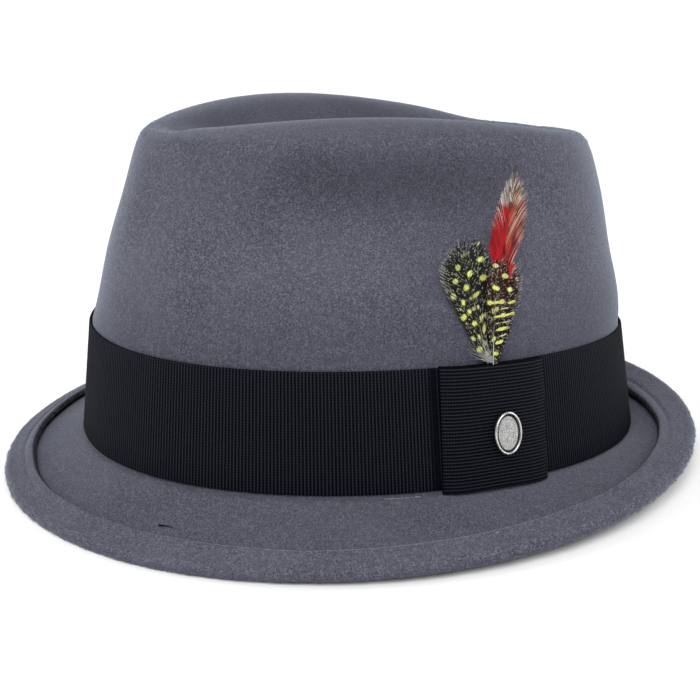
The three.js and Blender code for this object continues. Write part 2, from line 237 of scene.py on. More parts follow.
print("a ring of 3 rows and 4 columns has", len(grid_faces(3, 4, ring=True)[0]), "quads")

# %% From arrays to a mesh, and what a material reads from it
def fill_mesh(name, points, quads=None, triangles=None):
    """A mesh from points in millimetres and arrays of corner numbers."""
    mesh = bpy.data.meshes.new(name)
    mesh.vertices.add(len(points))
    mesh.vertices.foreach_set("co", (points * MM).astype(np.float32).ravel())
    parts = [(f, n) for f, n in ((quads, 4), (triangles, 3)) if f is not None and len(f)]
    corners = np.concatenate([f.ravel() for f, n in parts]).astype(np.int32)
    sizes = np.concatenate([np.full(len(f), n) for f, n in parts])
    mesh.loops.add(len(corners))
    mesh.loops.foreach_set("vertex_index", corners)
    mesh.polygons.add(len(sizes))
    starts = np.concatenate([[0], np.cumsum(sizes)[:-1]])
    mesh.polygons.foreach_set("loop_start", starts.astype(np.int32))
    mesh.polygons.foreach_set("use_smooth", np.ones(len(sizes), bool))
    mesh.update(calc_edges=True)
    return mesh


def keep_value(mesh, name, values):
    """Keeps one number for each point, for a material to read."""
    kept = mesh.attributes.new(name, "FLOAT", "POINT")
    kept.data.foreach_set("value", values.astype(np.float32).ravel())


def keep_dye(mesh, name, colours):
    """Keeps one colour for each point, for a material to read."""
    rgba = np.concatenate([colours, np.ones((len(colours), 1))], 1).astype(np.float32)
    kept = mesh.attributes.new(name, "FLOAT_COLOR", "POINT")
    kept.data.foreach_set("color", rgba.ravel())


def keep_uv(mesh, name, uv):
    """Keeps a pattern coordinate for each corner of each face."""
    mesh.uv_layers.new(name=name).data.foreach_set("uv", uv.astype(np.float32).ravel())


print("kept in a mesh: numbers, dyes and pattern coordinates")

# %% A mesh as a piece of the hat
def piece(name, mesh, material, slot, *nodes):
    """Puts a mesh in the scene as a piece that rides on the hat and stands for the CAD nodes."""
    thing = bpy.data.objects.new(name, mesh)
    bpy.context.scene.collection.objects.link(thing)
    mesh.materials.append(material)
    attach(thing, "root")
    if nodes:
        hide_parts(*nodes)
    mesh.calc_loop_triangles()
    print(name, "has", len(mesh.loop_triangles), "triangles")
    return thing


print("every piece rides on the hat's one body, root")

# %% [markdown]
# Materials are small node trees. These helpers join nodes by name, so that each recipe below
# reads from top to bottom. A colour or number that is the same all over a piece is typed into
# the shader's own socket.

# %% A recipe and its nodes
def recipe(name, **sockets):
    """A new material with one Principled shader whose sockets are set by name."""
    material = bpy.data.materials.new(name)
    material.use_nodes = True
    shader = material.node_tree.nodes["Principled BSDF"]
    for key, value in sockets.items():
        shader.inputs[key.replace("_", " ")].default_value = value
    return material, material.node_tree, shader


def add(tree, kind, values=None, **settings):
    """A node of a kind, with its settings, its input values and its incoming links."""
    node = tree.nodes.new("ShaderNode" + kind)
    for key, value in settings.items():
        setattr(node, key, value)
    for key, value in (values or {}).items():
        if isinstance(value, bpy.types.NodeSocket):
            tree.links.new(value, node.inputs[key])
        else:
            node.inputs[key].default_value = value
    return node


print("a recipe is a Principled shader; add puts a node beside it")

# %% Patterns, ranges, mixes and bumps
def noise(tree, where, scale, detail=3.0, roughness=0.55):
    """A soft random pattern; scale is in bumps per unit of the coordinate."""
    return add(tree, "TexNoise", {"Vector": where, "Scale": scale, "Detail": detail,
                                  "Roughness": roughness}).outputs["Fac"]


def spread(tree, value, low, high, to_low=0.0, to_high=1.0):
    """Stretches a value from one range to another, and keeps it there."""
    return add(tree, "MapRange", {"Value": value, "From Min": low, "From Max": high,
                                  "To Min": to_low, "To Max": to_high}).outputs["Result"]


def blend_colours(tree, share, first, second):
    """Colour first where share is 0 and second where it is 1."""
    node = add(tree, "Mix", data_type="RGBA")
    for socket, value in ((node.inputs[0], share), (node.inputs[6], first), (node.inputs[7], second)):
        if isinstance(value, bpy.types.NodeSocket):
            tree.links.new(value, socket)
        else:
            socket.default_value = value
    return node.outputs[2]


def raise_up(tree, shader, height, distance, strength):
    """A bump of the given depth in metres, put on the shader."""
    bump = add(tree, "Bump", {"Height": height, "Distance": distance, "Strength": strength})
    tree.links.new(bump.outputs["Normal"], shader.inputs["Normal"])


print("recipe helpers: noise, spread, blend_colours, raise_up")

# %% [markdown]
# ## Felt
# Wool felt has no weave: its fibres lie every way, so its colour is a fine heather of slightly
# lighter and darker fibres, and its nap catches light at a glancing angle. Three noises mix the
# greys: single fibres, small flecks and large worn clouds. The first two also raise the nap, and
# the shader's sheen gives the pale rim that brushed wool has. Two numbers kept in the mesh paint
# light and shade. One is painted shade in the hollow, the pinch, the front crease, the crown's foot
# and the inner brim, with less of it, as painted light, on the ledge and the flap. The other marks
# the raw edge and the slit under the flap: nearly black, partly the cut felt's own colour between
# its fibres and partly painted shade, and without sheen.

# %% Felt recipe
SHEEN, NO_SHEEN = 0.48, 0.02
felt, tree, shader = recipe("brushed_grey_felt", Roughness=0.95, Sheen_Weight=SHEEN,
                            Sheen_Roughness=0.3, Specular_IOR_Level=0.1)
shader.inputs["Sheen Tint"].default_value = (0.76, 0.86, 1.0, 1)
place = add(tree, "TexCoord").outputs["Object"]
fibres = noise(tree, place, 1900, 4, 0.7)
flecks = noise(tree, place, 620, 3, 0.6)
clouds = noise(tree, place, 38, 2, 0.5)
heather = blend_colours(tree, spread(tree, fibres, 0.39, 0.61),
                        (0.03, 0.03, 0.041, 1), (0.148, 0.149, 0.194, 1))
mottled = blend_colours(tree, spread(tree, flecks, 0.44, 0.58, 0.0, 0.5),
                        heather, (0.05, 0.05, 0.067, 1))
worn = blend_colours(tree, spread(tree, clouds, 0.35, 0.7, 0.0, 0.26),
                     mottled, (0.14, 0.142, 0.186, 1))
# The pressed number is painted shade: it darkens the felt in the hollow, the pinch, the crease, the
# crown's foot and the inner brim.
pressed = add(tree, "Attribute", attribute_name="pressed").outputs["Fac"]
felt_with_painted_shade = blend_colours(tree, pressed, worn, (0.03, 0.03, 0.042, 1))
# the raw edge's near-black colour: partly the cut felt's own, partly painted shade of the slit under
# the flap
raw_and_shade = add(tree, "Attribute", attribute_name="raw_edge_and_slit_shade").outputs["Fac"]
torn_edge_and_shade = add(tree, "Math", {0: raw_and_shade, 1: spread(tree, flecks, 0.4, 0.62, 1.0, 0.55)},
           operation="MULTIPLY").outputs[0]
coloured = blend_colours(tree, torn_edge_and_shade, felt_with_painted_shade, (0.008, 0.008, 0.011, 1))
tree.links.new(coloured, shader.inputs["Base Color"])
tree.links.new(spread(tree, raw_and_shade, 0.0, 1.0, SHEEN, NO_SHEEN), shader.inputs["Sheen Weight"])
nap = add(tree, "Math", {0: fibres, 1: spread(tree, flecks, 0.2, 0.8, 0.0, 0.45)},
          operation="ADD").outputs[0]
raise_up(tree, shader, nap, 0.0002, 0.6)
print("felt recipe has", len(tree.nodes), "nodes")

# %% [markdown]
# The hat's body is one piece of felt. It could be sculpted, but the solids already have its
# formula, so the same formula is run on a much finer grid. What the solids leave out is added
# in the profile: the raw edge of the turned-over flap stands a little off the brim, with a dark
# slit under it, and curls up further in two places; its corners are soft, and a stitched groove
# runs beside it.

# %% Turns and small unevenness
TURNS = 440
turns = np.arange(TURNS) / TURNS * 2 * np.pi


def waver(t, *waves):
    """A gentle unevenness round the hat: a sum of sines, each (how many, how strong, start)."""
    return sum(strong * np.sin(many * t + start) for many, strong, start in waves)


raw_wander = waver(turns, (7, 0.16, 1.0), (13, 0.12, 2.1), (29, 0.07, 0.4))
edge_wander = waver(turns, (5, 0.12, 0.3), (11, 0.1, 1.7), (23, 0.05, 2.9))
back_curl, front_curl = turns - np.radians(165), turns + np.radians(40)
curled = np.cos(back_curl).clip(0) ** 2 + 0.85 * np.cos(front_curl).clip(0) ** 2
slit = 0.6 + 0.7 * curled + waver(turns, (3, 0.08, 0.0), (9, 0.07, 1.2))  # at the raw edge
print("the slit under the flap is", slit.min().round(2), "to", slit.max().round(2), "mm high")

# %% [markdown]
# A soft crown also keeps the marks of the hands that take it off and put it down. They could be
# pressed in with a sculpting brush; small bell-shaped changes of height do the same and can be
# read and changed as numbers.

# %% What a hand did to the crown
def bell(value, middle, width):
    """1 at the middle, falling off by the square of the distance in widths."""
    return np.exp(-(((value - middle) / width) ** 2))


def front_crease(x, y):
    """How deep the crease is that a hand pressed in from the hollow's front tip, 0 to 1. It is
    steep towards the wearer's left and shallow towards the right."""
    along = (y + 66) / 26
    across = x + 2 + 4 * along
    share = np.clip(along / 0.25 + 0.2, 0, 1) * np.clip((1.7 - along) / 1.1, 0, 1)
    return share * bell(across, 0, np.where(across > 0, 5.5, 13))


def by_hand(grid, u, t):
    """A crown grid with what a hand did to the soft felt, each at most 2 mm of height: the
    crease in front, a lower rim at the right back and a fuller one at the left back."""
    turn, u = np.degrees(np.arctan2(np.sin(t), np.cos(t))), u[:, None]
    lower = 1.5 * bell(turn, -151, 13) * bell(u, 0.55, 0.17)
    fuller = 0.8 * bell(turn, 163, 22) * bell(u, 0.5, 0.2)
    crease = 2 * front_crease(grid[..., 0], grid[..., 1]) * (u > 0.5)
    return grid - np.stack([0 * crease, 0 * crease, lower + crease - fuller], -1)


print("crease 4 mm and 20 mm from the hollow's tip:",
      front_crease(np.array([-2.6, -5.1]), np.array([-62.0, -46.0])).round(2))

# %% Rows of the felt's outside, from the hollow to the raw edge
# rows in the slit under the flap take the raw edge's dark colour as painted shade
SLIT_SHADE, NOT_RAW = 1.0, 0.0
crown_steps = np.concatenate([np.linspace(1, 0.68, 24)[1:], np.linspace(0.68, 0.4, 34)[1:],
                              np.linspace(0.4, 0.02, 28)[1:]])
crown_grid = by_hand(crown(turns, crown_steps[::-1])[::-1], crown_steps, turns)
outside = [*crown_grid, *(wall(turns, share, 0.0) for share in np.linspace(1, 0, 7))]
start = flap_start(turns) + raw_wander
outside += [brim(turns, start * share, 0.0) for share in np.linspace(0, 1, 18)[1:]]
felt_rows = [(row, NOT_RAW) for row in outside]
# the slit's floor and the flap's underside, in painted shade
felt_rows += [(brim(turns, start + deep, 0.0), SLIT_SHADE) for deep in (0.8, 1.8, 2.8)]
SLIT_DEEP = 3.4  # how far the slit reaches in under the flap
felt_rows += [(brim(turns, start + deep, slit * (1 - deep / SLIT_DEEP)), SLIT_SHADE)
              for deep in (3.2, 2.4, 1.4, 0.5)]
print("rows to the raw edge:", len(felt_rows))

# %% Rows up the cut face and over the flap
GROOVE_IN, GROOVE_DEPTH, GROOVE_WIDTH = 3.0, 0.2, 0.75  # the stitched groove, from the raw edge
FLAP_THICKNESS = FELT * 0.92
flap_width = brim_reach(turns) - start


def flap_top(inward):
    """Upper side of the flap: inward is the level distance from the raw edge. It comes down from
    the slit's height to the folded edge, less a bell-shaped groove."""
    share = inward / flap_width
    off = (slit + FLAP_THICKNESS) * (1 - share) ** 1.6 + edge_radius * (1 - (1 - share) ** 1.6)
    off = off - (GROOVE_DEPTH + 0.36 * curled) * bell(inward, GROOVE_IN, GROOVE_WIDTH)
    return brim(turns, start + inward, off)


# the cut face: how far it leans out where the flap curls, level distance, height, and rawness, whose
# near-black colour is partly the cut felt's own and partly painted shade
cut_face = ((1.0, 0.1, 0.0, 1), (0.9, 0.05, 0.4, 1), (0.5, 0.0, 1.0, 1), (0.15, 0.0, 1.5, 0.7),
            (0.0, 0.1, 1.78, 0.0))
for lean, inward, up, raw in cut_face:
    felt_rows.append((brim(turns, start + inward - 1.15 * lean * curled, slit + up), raw))
by_groove = [0.4, 0.9, 1.4, 1.9, 2.3, 2.65, 3.0, 3.35, 3.7, 4.2, 4.8]
felt_rows += [(flap_top(inward), NOT_RAW) for inward in by_groove]
flap_row = len(felt_rows)
rest_of_flap = flap_width - by_groove[-1]
felt_rows += [(flap_top(by_groove[-1] + rest_of_flap * share), NOT_RAW)
              for share in np.linspace(0, 1, 9)[1:-1]]
print("rows to the folded edge:", len(felt_rows))

# %% Rows round the folded edge, back underneath and up inside
edge_row = len(felt_rows)
edge_z, edge_slope = brim_line(turns, brim_reach(turns))
rubbed = chance.uniform(-0.24, 0.24, TURNS)
for degrees in (90, 68, 45, 22, 0, -22, -40, -53, -62, -75, -90):
    a = np.radians(degrees) + np.arctan(edge_slope) * max(degrees, 0) / 90
    height = np.maximum(edge_z + edge_radius * np.sin(a), 0)
    proud = brim_reach(turns) + (edge_wander + rubbed) * np.cos(a) + edge_radius * np.cos(a)
    felt_rows.append((oval(turns, 0, proud, height), 0))
felt_rows += [(brim(turns, brim_reach(turns) * share - 1.1 * share**8, -FELT), 0)
              for share in (1, 0.92, 0.8, 0.65, 0.5, 0.35, 0.2, 0.08, 0)]
corner = wall(turns, 0, -FELT) + np.array([0, 0, FELT / 2])
felt_rows += [(corner, 0)] + [(wall(turns, share, -FELT), 0) for share in (0.12, 0.4, 0.7, 1)]
inside_steps = np.concatenate([np.linspace(0.02, 0.4, 22), np.linspace(0.4, 0.68, 26)[1:],
                               np.linspace(0.68, 0.96, 14)[1:]])
inside_grid = crown(turns, inside_steps)
inside_grid = by_hand(inside_grid - FELT * normals_of(inside_grid), inside_steps, turns)
felt_rows += [(row, 0) for row in inside_grid]
print("rows in all:", len(felt_rows))

# %% Where the felt gets painted shade and painted light
def painted_felt_shade(points):
    """How much painted shade the felt gets, 0 to 1: most in the hollow on top and at the crown's
    foot, then in the front crease and in the pinch at each side, and a little on the brim. It
    is less there, as painted light, on the ledge under the pinch and on the flap."""
    x, y, z = points.T
    turn = np.abs(np.arctan2(x / half_width, -(y - set_back) / half_length))
    out = np.hypot(x / half_width, (y - set_back) / half_length)
    pinch = bell(z, 104, 10) * bell(turn, DENT_TURN, DENT_SPREAD) * (out > 0.6)
    ledge = bell(z, 83, 8) * bell(turn, DENT_TURN, DENT_SPREAD) * (out > 0.6)
    foot = np.clip((77 - z) / 22, 0, 1) * (out < 1.02)
    hollow = np.clip((0.7 - out) / 0.2, 0, 1) * (z > 90)
    away = np.hypot(x, y - set_back) - np.hypot(half_width * np.sin(turn), half_length * np.cos(turn))
    shelf = np.clip(away, 0, 1) * (away < flap_start(turn)) - 0.4 * (away >= flap_start(turn))
    crease = front_crease(x, y) * (z > 100)
    # painted shade in the crease, the pinch and the hollow, and painted light on the ledge
    painted_marks = 0.3 * crease + 0.25 * pinch - 0.08 * ledge + 0.42 * hollow
    # painted shade on the inner brim and at the crown's foot, and less of it on the flap
    return np.clip(0.06 + painted_marks + 0.12 * shelf + 0.3 * foot, 0, 1)


# the painted shade at the pinch
print("nap pressed at the pinch:", painted_felt_shade(np.array([[62.0, -20.0, 104.0]])).round(2))

# %% Close the felt into one skin
felt_points = np.stack([row for row, raw in felt_rows])
raw_and_shade_share = np.repeat([raw for row, raw in felt_rows], TURNS)
rows = len(felt_points)
top_pole = crown(np.zeros(1), np.ones(1))[0, 0]
all_points = np.concatenate([felt_points.reshape(-1, 3), [top_pole, top_pole - [0, 0, FELT]]])
quads, _, _ = grid_faces(rows, TURNS, ring=True)
felt_mesh = fill_mesh("felt_hat", all_points, quads[:, ::-1], end_fans(rows, TURNS))
# the raw edge's own dark colour and the slit's painted shade
keep_value(felt_mesh, "raw_edge_and_slit_shade", np.concatenate([raw_and_shade_share, [0, 0]]))
# painted shade and painted light on the felt, by place
keep_value(felt_mesh, "pressed", painted_felt_shade(all_points))
piece("felt_hat", felt_mesh, felt, "felt", "felt_body")

# %% [markdown]
# Wool felt is never quite smooth: loose fibres stand up all over it, and against the light they
# blur its outline. They are real hairs here, thin three-sided blades that leave the surface at a
# low angle and bend. Nearly half of them stand along the folded edge, where the felt is rubbed.

# %% Loose fibres of the felt
ROOTED = 0.05  # how deep a hair's foot sits in the felt


def nap_hairs(count, row_low, row_high, reach_low, reach_high):
    """Hairs on the felt's rows between two numbers. Each starts at a random point of a random
    row and goes out along a mix of the normal and a random direction, then bends back."""
    r = chance.integers(row_low, row_high, count)
    c = chance.integers(0, TURNS, count)
    slide = chance.random((count, 1))
    foot = felt_points[r, c] * (1 - slide) + felt_points[r, (c + 1) % TURNS] * slide
    foot = foot + (felt_points[r + 1, c] - felt_points[r, c]) * chance.random((count, 1))
    out = felt_normals[r, c]
    lay_way = chance.normal(0, 1, (count, 3))
    lay_way -= out * (lay_way * out).sum(1, keepdims=True)
    lay_way /= np.linalg.norm(lay_way, axis=1, keepdims=True)
    reach = chance.uniform(reach_low, reach_high, (count, 1))
    rise = chance.uniform(0.15, 0.75, (count, 1))
    q = np.linspace(0, 1, 4)[None, :, None]
    lifted = out[:, None] * rise[:, None] * (1.4 * q - 0.8 * q * q)
    line = foot[:, None] + reach[:, None] * (lay_way[:, None] * q + lifted)
    line = line - out[:, None] * ROOTED
    line[..., 2] = np.maximum(line[..., 2], 0.03)
    return line


print("hair feet sit", ROOTED, "mm deep")

# %% Thin strands as a mesh
def strand_faces(count, steps):
    """Faces of three-sided strands whose corners are kept strand by strand, step by step: three
    quads from each step to the next, and a triangle on each end."""
    h, k, e = np.meshgrid(np.arange(count), np.arange(steps - 1), np.arange(3), indexing="ij")
    at = lambda k, e: ((h * steps + k) * 3 + e % 3).ravel()
    quads = np.stack([at(k, e), at(k + 1, e), at(k + 1, e + 1), at(k, e + 1)], 1)
    h0 = np.arange(count) * steps * 3
    h1 = h0 + (steps - 1) * 3
    caps = np.concatenate([np.stack([h0, h0 + 1, h0 + 2], 1), np.stack([h1, h1 + 2, h1 + 1], 1)])
    return quads, caps


def hair_mesh(name, line, thick):
    """Three corners round each hair's line at every step, thinner towards its tip."""
    steps = line.shape[1]
    ahead = line[:, -1] - line[:, 0]
    ahead /= np.linalg.norm(ahead, axis=1, keepdims=True)
    a = np.cross(ahead, [0.31, 0.52, 0.8])
    a /= np.linalg.norm(a, axis=1, keepdims=True)
    b = np.cross(ahead, a)
    turn = np.arange(3) * 2 * np.pi / 3
    ring = a[:, None] * np.cos(turn)[:, None] + b[:, None] * np.sin(turn)[:, None]
    size = thick[:, None] / 2 * (1 - 0.75 * np.linspace(0, 1, steps))
    points = line[:, :, None] + ring[:, None] * size[..., None, None]
    quads, caps = strand_faces(len(line), steps)
    return fill_mesh(name, points.reshape(-1, 3), quads[:, ::-1], caps[:, ::-1])


print("a strand of 4 steps has", len(strand_faces(1, 4)[0]), "quads")

# %% Hairs on the crown and brim, and along the folded edge
felt_normals = -normals_of(felt_points)
crown_end = len(crown_grid)
HAIR_SETS = (  # how many, first row and row before which they end, shortest, longest, thickness
    (3000, 14, crown_end - 2, 0.5, 1.3, 0.1),
    (900, crown_end + 8, crown_end + 22, 0.5, 1.2, 0.1),
    (1200, flap_row, edge_row + 1, 0.4, 1.1, 0.09),
    (4400, edge_row + 2, edge_row + 9, 0.4, 1.2, 0.13),
)
hairs = np.concatenate([nap_hairs(*one[:5]) for one in HAIR_SETS])
hair_thick = np.concatenate([np.full(one[0], one[5]) for one in HAIR_SETS])
hair_feet = hairs[:, 0, 2]
print("hair feet, lowest and highest in mm:", hair_feet.min().round(2), hair_feet.max().round(1))
fibre, tree, shader = recipe("loose_wool", Roughness=0.9, Specular_IOR_Level=0.1)
strand = noise(tree, add(tree, "TexCoord").outputs["Object"], 700, 2, 0.5)
greys = blend_colours(tree, strand, (0.045, 0.046, 0.061, 1), (0.125, 0.128, 0.168, 1))
tree.links.new(greys, shader.inputs["Base Color"])
piece("felt_fibres", hair_mesh("felt_fibres", hairs, hair_thick), fibre, "felt")

# %% [markdown]
# ## Ribbon
# Grosgrain is woven with thick threads across its width, so it has ribs that stand up like
# cords. Ribs this size show, so they are in the mesh and not only in the shading. Round the
# hat they stand upright; on the bow, where the ribbon is turned, they lie level.

# %% Ribbon recipe
ribbon, tree, shader = recipe("black_grosgrain", Roughness=0.7, Specular_IOR_Level=0.045)
shader.inputs["Specular Tint"].default_value = (0.5, 0.72, 1.0, 1)
weave = add(tree, "UVMap", uv_map="weave").outputs["UV"]
place = add(tree, "TexCoord").outputs["Object"]
# the rib heights paint light and shade: a painted highlight on each crest and painted shade in each
# groove
crest = add(tree, "Attribute", attribute_name="rib").outputs["Fac"]
yarn = add(tree, "TexWave", {"Vector": weave, "Scale": 0.36, "Distortion": 1.6, "Detail": 2.0},
           bands_direction="Y").outputs["Fac"]
dusty = noise(tree, place, 900, 3, 0.6)
lit_yarn = spread(tree, yarn, 0.1, 0.9, 0.5, 1.0)
painted_crest_highlight = add(tree, "Math", {0: spread(tree, crest, 0.88, 1.0), 1: lit_yarn},
                 operation="MULTIPLY").outputs[0]
# painted shade in the grooves and a painted highlight on the crests, broken by the yarn
dark = blend_colours(tree, painted_crest_highlight, (0.0016, 0.0017, 0.0025, 1), (0.025, 0.0262, 0.034, 1))
grey = blend_colours(tree, spread(tree, dusty, 0.5, 0.8, 0.0, 0.25), dark,
                     (0.013, 0.0145, 0.019, 1))
tree.links.new(grey, shader.inputs["Base Color"])
raise_up(tree, shader, yarn, 0.00006, 0.5)
print("ribbon recipe has", len(tree.nodes), "nodes")

# %% The band: ribs at even steps along the foot's oval
def seat(t, proud):
    """Lowest height at which a piece this proud of the wall clears the brim."""
    return np.maximum(foot_height(t), brim_line(t, proud)[0]) + GAP


def rib_profile(phase):
    """Height of a rib, 0 to 1: a half circle with a narrow valley, phase 0 to 1 across it."""
    return np.sqrt(np.maximum(1 - (2 * (phase % 1) - 1) ** 2, 0)) ** 0.8


dense = np.linspace(0, 2 * np.pi, 4001)
path = wall(dense, 0.5, band_face)
walked = np.concatenate([[0], np.cumsum(np.linalg.norm(np.diff(path, axis=0), axis=1))])
RIBS, PER_RIB, RIB_DEPTH = round(walked[-1] / RIB), 6, 0.24
steps = np.arange(RIBS * PER_RIB)
band_turns = np.interp((steps + 0.5) / len(steps) * walked[-1], walked, dense)
band_ribs = rib_profile((steps + 0.5) / PER_RIB)
print("band is", round(walked[-1], 1), "mm round and has", RIBS, "ribs")

# %% The band's closed section, swept round
low = (seat(band_turns, band_face) - foot_height(band_turns)) / BAND_WIDTH
slack = waver(band_turns, (6, 0.08, 0.5), (17, 0.05, 1.0))
front_rows = ((0.0, 0.45), (0.006, 0.8), (0.018, 1.0), (0.2, 1), (0.4, 1), (0.6, 1), (0.8, 1),
              (0.982, 1.0), (0.994, 0.8), (1.0, 0.45))  # share of the width, share of the thickness
section = []
for share, face in front_rows:
    proud = GAP + BAND_THICKNESS * face + slack * min(face, 1) - RIB_DEPTH * (1 - band_ribs) * face
    section.append((wall(band_turns, low + (1 - low) * share, proud), share * BAND_WIDTH, band_ribs))
for share in (0.997, 0.5, 0.003):
    section.append((wall(band_turns, low + (1 - low) * share, GAP), share * BAND_WIDTH, band_ribs * 0))
band_points = np.stack([row for row, up, rib in section])
quads, rr, cc = grid_faces(len(section), len(steps), ring=True, loop=True)
band_mesh = fill_mesh("ribbon_round_crown", band_points.reshape(-1, 3), quads)
before_bow = (band_turns - BOW_TURN) * arc_scale + BOW_WIDTH / 2  # mm past the bow's front edge
ribs_in_painted_bow_shadow = 1 - 0.1 * bell(before_bow, -0.9, 1.3)  # painted shadow of the bow: less highlight on the ribs just in front of it
keep_value(band_mesh, "rib", np.stack([rib * ribs_in_painted_bow_shadow for row, up, rib in section]))
heights = np.array([up for row, up, rib in section] + [0.0])
keep_uv(band_mesh, "weave", np.stack([cc.ravel() / PER_RIB, heights[rr.ravel()]], 1))
ribbon_band = piece("ribbon_round_crown", band_mesh, ribbon, "ribbon", "ribbon_band")

# %% [markdown]
# The bow is a flat wrap: a length of the same ribbon laid over the band, turned over its top
# edge and under its foot. One profile, carried across the bow's width, gives the front, both
# folds and the turned-in ends, and Solidify gives the ribbon its thickness. It doesn't lie quite
# true: it leans to the back, its lower corners draw in, and the lower back one stands off.

# %% The bow's profile: up the front, and over at both ends
BOW_COLUMNS, BOW_RIBS = 48, 37
across = np.linspace(-1, 1, BOW_COLUMNS)
bow_turns = BOW_TURN + across * BOW_WIDTH / 2 / arc_scale
bow_front = band_face + GAP + POCKET * (1 - across**4) + BOW_THICKNESS
bow_sag = 1.1 * ((across + 1) / 2) ** 2  # the bow stands off at the lower back corner
arch = 0.2 + 0.9 * (1 - across**2)  # its foot stands off the brim, most in the middle
bow_foot = brim_line(bow_turns, bow_front + bow_sag)[0] + arch
bow_low = (bow_foot - foot_height(bow_turns)) / BAND_WIDTH
bow_high = 1 + (BOW_OVER - 0.45 - 0.5 * ((across + 1) / 2) ** 2) / BAND_WIDTH
bow_steps = np.arange(BOW_RIBS * PER_RIB + 1) / PER_RIB
FOLD, BOW_LEAN = 1.1, 1.6  # roundness of the folds; how far the bow's top leans to the back
BOW_ENDS, BOW_SHELL = 4.4, 0.7  # ribbon turned over at both ends; thickness of the ribbon
bow_rows, bow_rib, bow_up = [], [], []


def bow_row(share, proud, rib, up):
    """One row of the bow: share up its height, proud of the wall, with its rib height. The
    turn is moved along by the lean at the top and by what the lower corners draw in."""
    plain = np.clip((1 - np.abs(across)) * 18, 0.25, 1)  # the selvages are nearly plain
    proud = proud - RIB_DEPTH * (1 - rib) * plain + bow_sag * np.clip(1 - share, 0, 1) ** 2
    drawn_in = (1 - share) * (0.9 * np.clip(-across, 0, 1) - 1.3 * np.clip(across, 0, 1))
    leant = bow_turns + (BOW_LEAN * share - 0.5 + drawn_in) / arc_scale
    bow_rows.append(wall(leant, bow_low + (bow_high - bow_low) * share, proud))
    bow_rib.append(np.full(BOW_COLUMNS, rib))
    bow_up.append(up)


tall = (bow_high - bow_low).mean() * BAND_WIDTH
for inward, lift in ((1.2, 1.9), (1.1, 1.0), (1.0, 0.35)):
    bow_row(FOLD / tall * 0.1 + lift / tall, bow_front - inward, 0.6, -inward)
for step in bow_steps:
    up = step / BOW_RIBS * tall
    near = min(up, tall - up) / FOLD
    tuck = FOLD * (1 - np.sqrt(1 - (1 - min(near, 1)) ** 2))
    bow_row(up / tall, bow_front - tuck, float(rib_profile(step)), up)
for inward in (0.8, 1.1):
    bow_row(1 - FOLD / tall * 0.05, bow_front - inward, 0.6, tall + inward)
print("bow is", round(tall, 1), "mm tall with", BOW_RIBS, "ribs")

# %% The bow as a piece
quads, rr, cc = grid_faces(len(bow_rows), BOW_COLUMNS, ring=False)
bow_mesh = fill_mesh("flat_bow", np.stack(bow_rows).reshape(-1, 3), quads)
# rib heights, for the ribbon's painted crest highlight and groove shade
keep_value(bow_mesh, "rib", np.stack(bow_rib))
keep_uv(bow_mesh, "weave", np.stack([np.array(bow_up)[rr.ravel()] / RIB,
                                     across[cc.ravel()] * BOW_WIDTH / 2], 1))
flat_bow = piece("flat_bow", bow_mesh, ribbon, "ribbon", "bow_wrap")
solidify = flat_bow.modifiers.new("ribbon_thickness", "SOLIDIFY")
solidify.thickness, solidify.offset = BOW_SHELL * MM, -1.0

# %% [markdown]
# ## Pin
# A small stamped pin in old silver: a polished rim, a dark groove, and a field beaten all over
# with tiny pits, here left plain. Its face is one grid of rings; the pits are round dimples at
# jittered places, pressed into the field's height.

# %% Silver recipe
silver, tree, shader = recipe("old_silver", Metallic=1.0)
tarnish = add(tree, "Attribute", attribute_name="tarnish").outputs["Fac"]
place = add(tree, "TexCoord").outputs["Object"]
smudge = noise(tree, place, 900, 3, 0.6)
deep = add(tree, "Math", {0: tarnish, 1: spread(tree, smudge, 0.3, 0.8, -0.12, 0.18)},
           operation="ADD", use_clamp=True).outputs[0]
metal = blend_colours(tree, deep, (0.62, 0.62, 0.61, 1), (0.012, 0.012, 0.014, 1))
tree.links.new(metal, shader.inputs["Base Color"])
tree.links.new(spread(tree, deep, 0.0, 1.0, 0.3, 0.75), shader.inputs["Roughness"])
raise_up(tree, shader, noise(tree, place, 5000, 2, 0.5), 0.00002, 0.4)
print("silver recipe has", len(tree.nodes), "nodes")

# %% The frame that a small part stands in
def wall_frame(t, share, proud, lean):
    """Origin and three unit vectors on the wall: along the hat's turn, up the wall, and out."""
    out = outward(np.array(t))
    along = np.array([-out[1], out[0], 0])
    up = np.array([0, 0, np.cos(lean)]) - out * np.sin(lean)
    return wall(np.array(t), share, proud), np.stack([along, up, np.cross(along, up)])


def place_in(here, points):
    """Points given in a frame, as points of the hat."""
    origin, axes = here
    return points @ axes + origin


print("the wall beside the bow faces", wall_frame(BOW_TURN, 0.5, 0, wall_lean)[1][2].round(2))

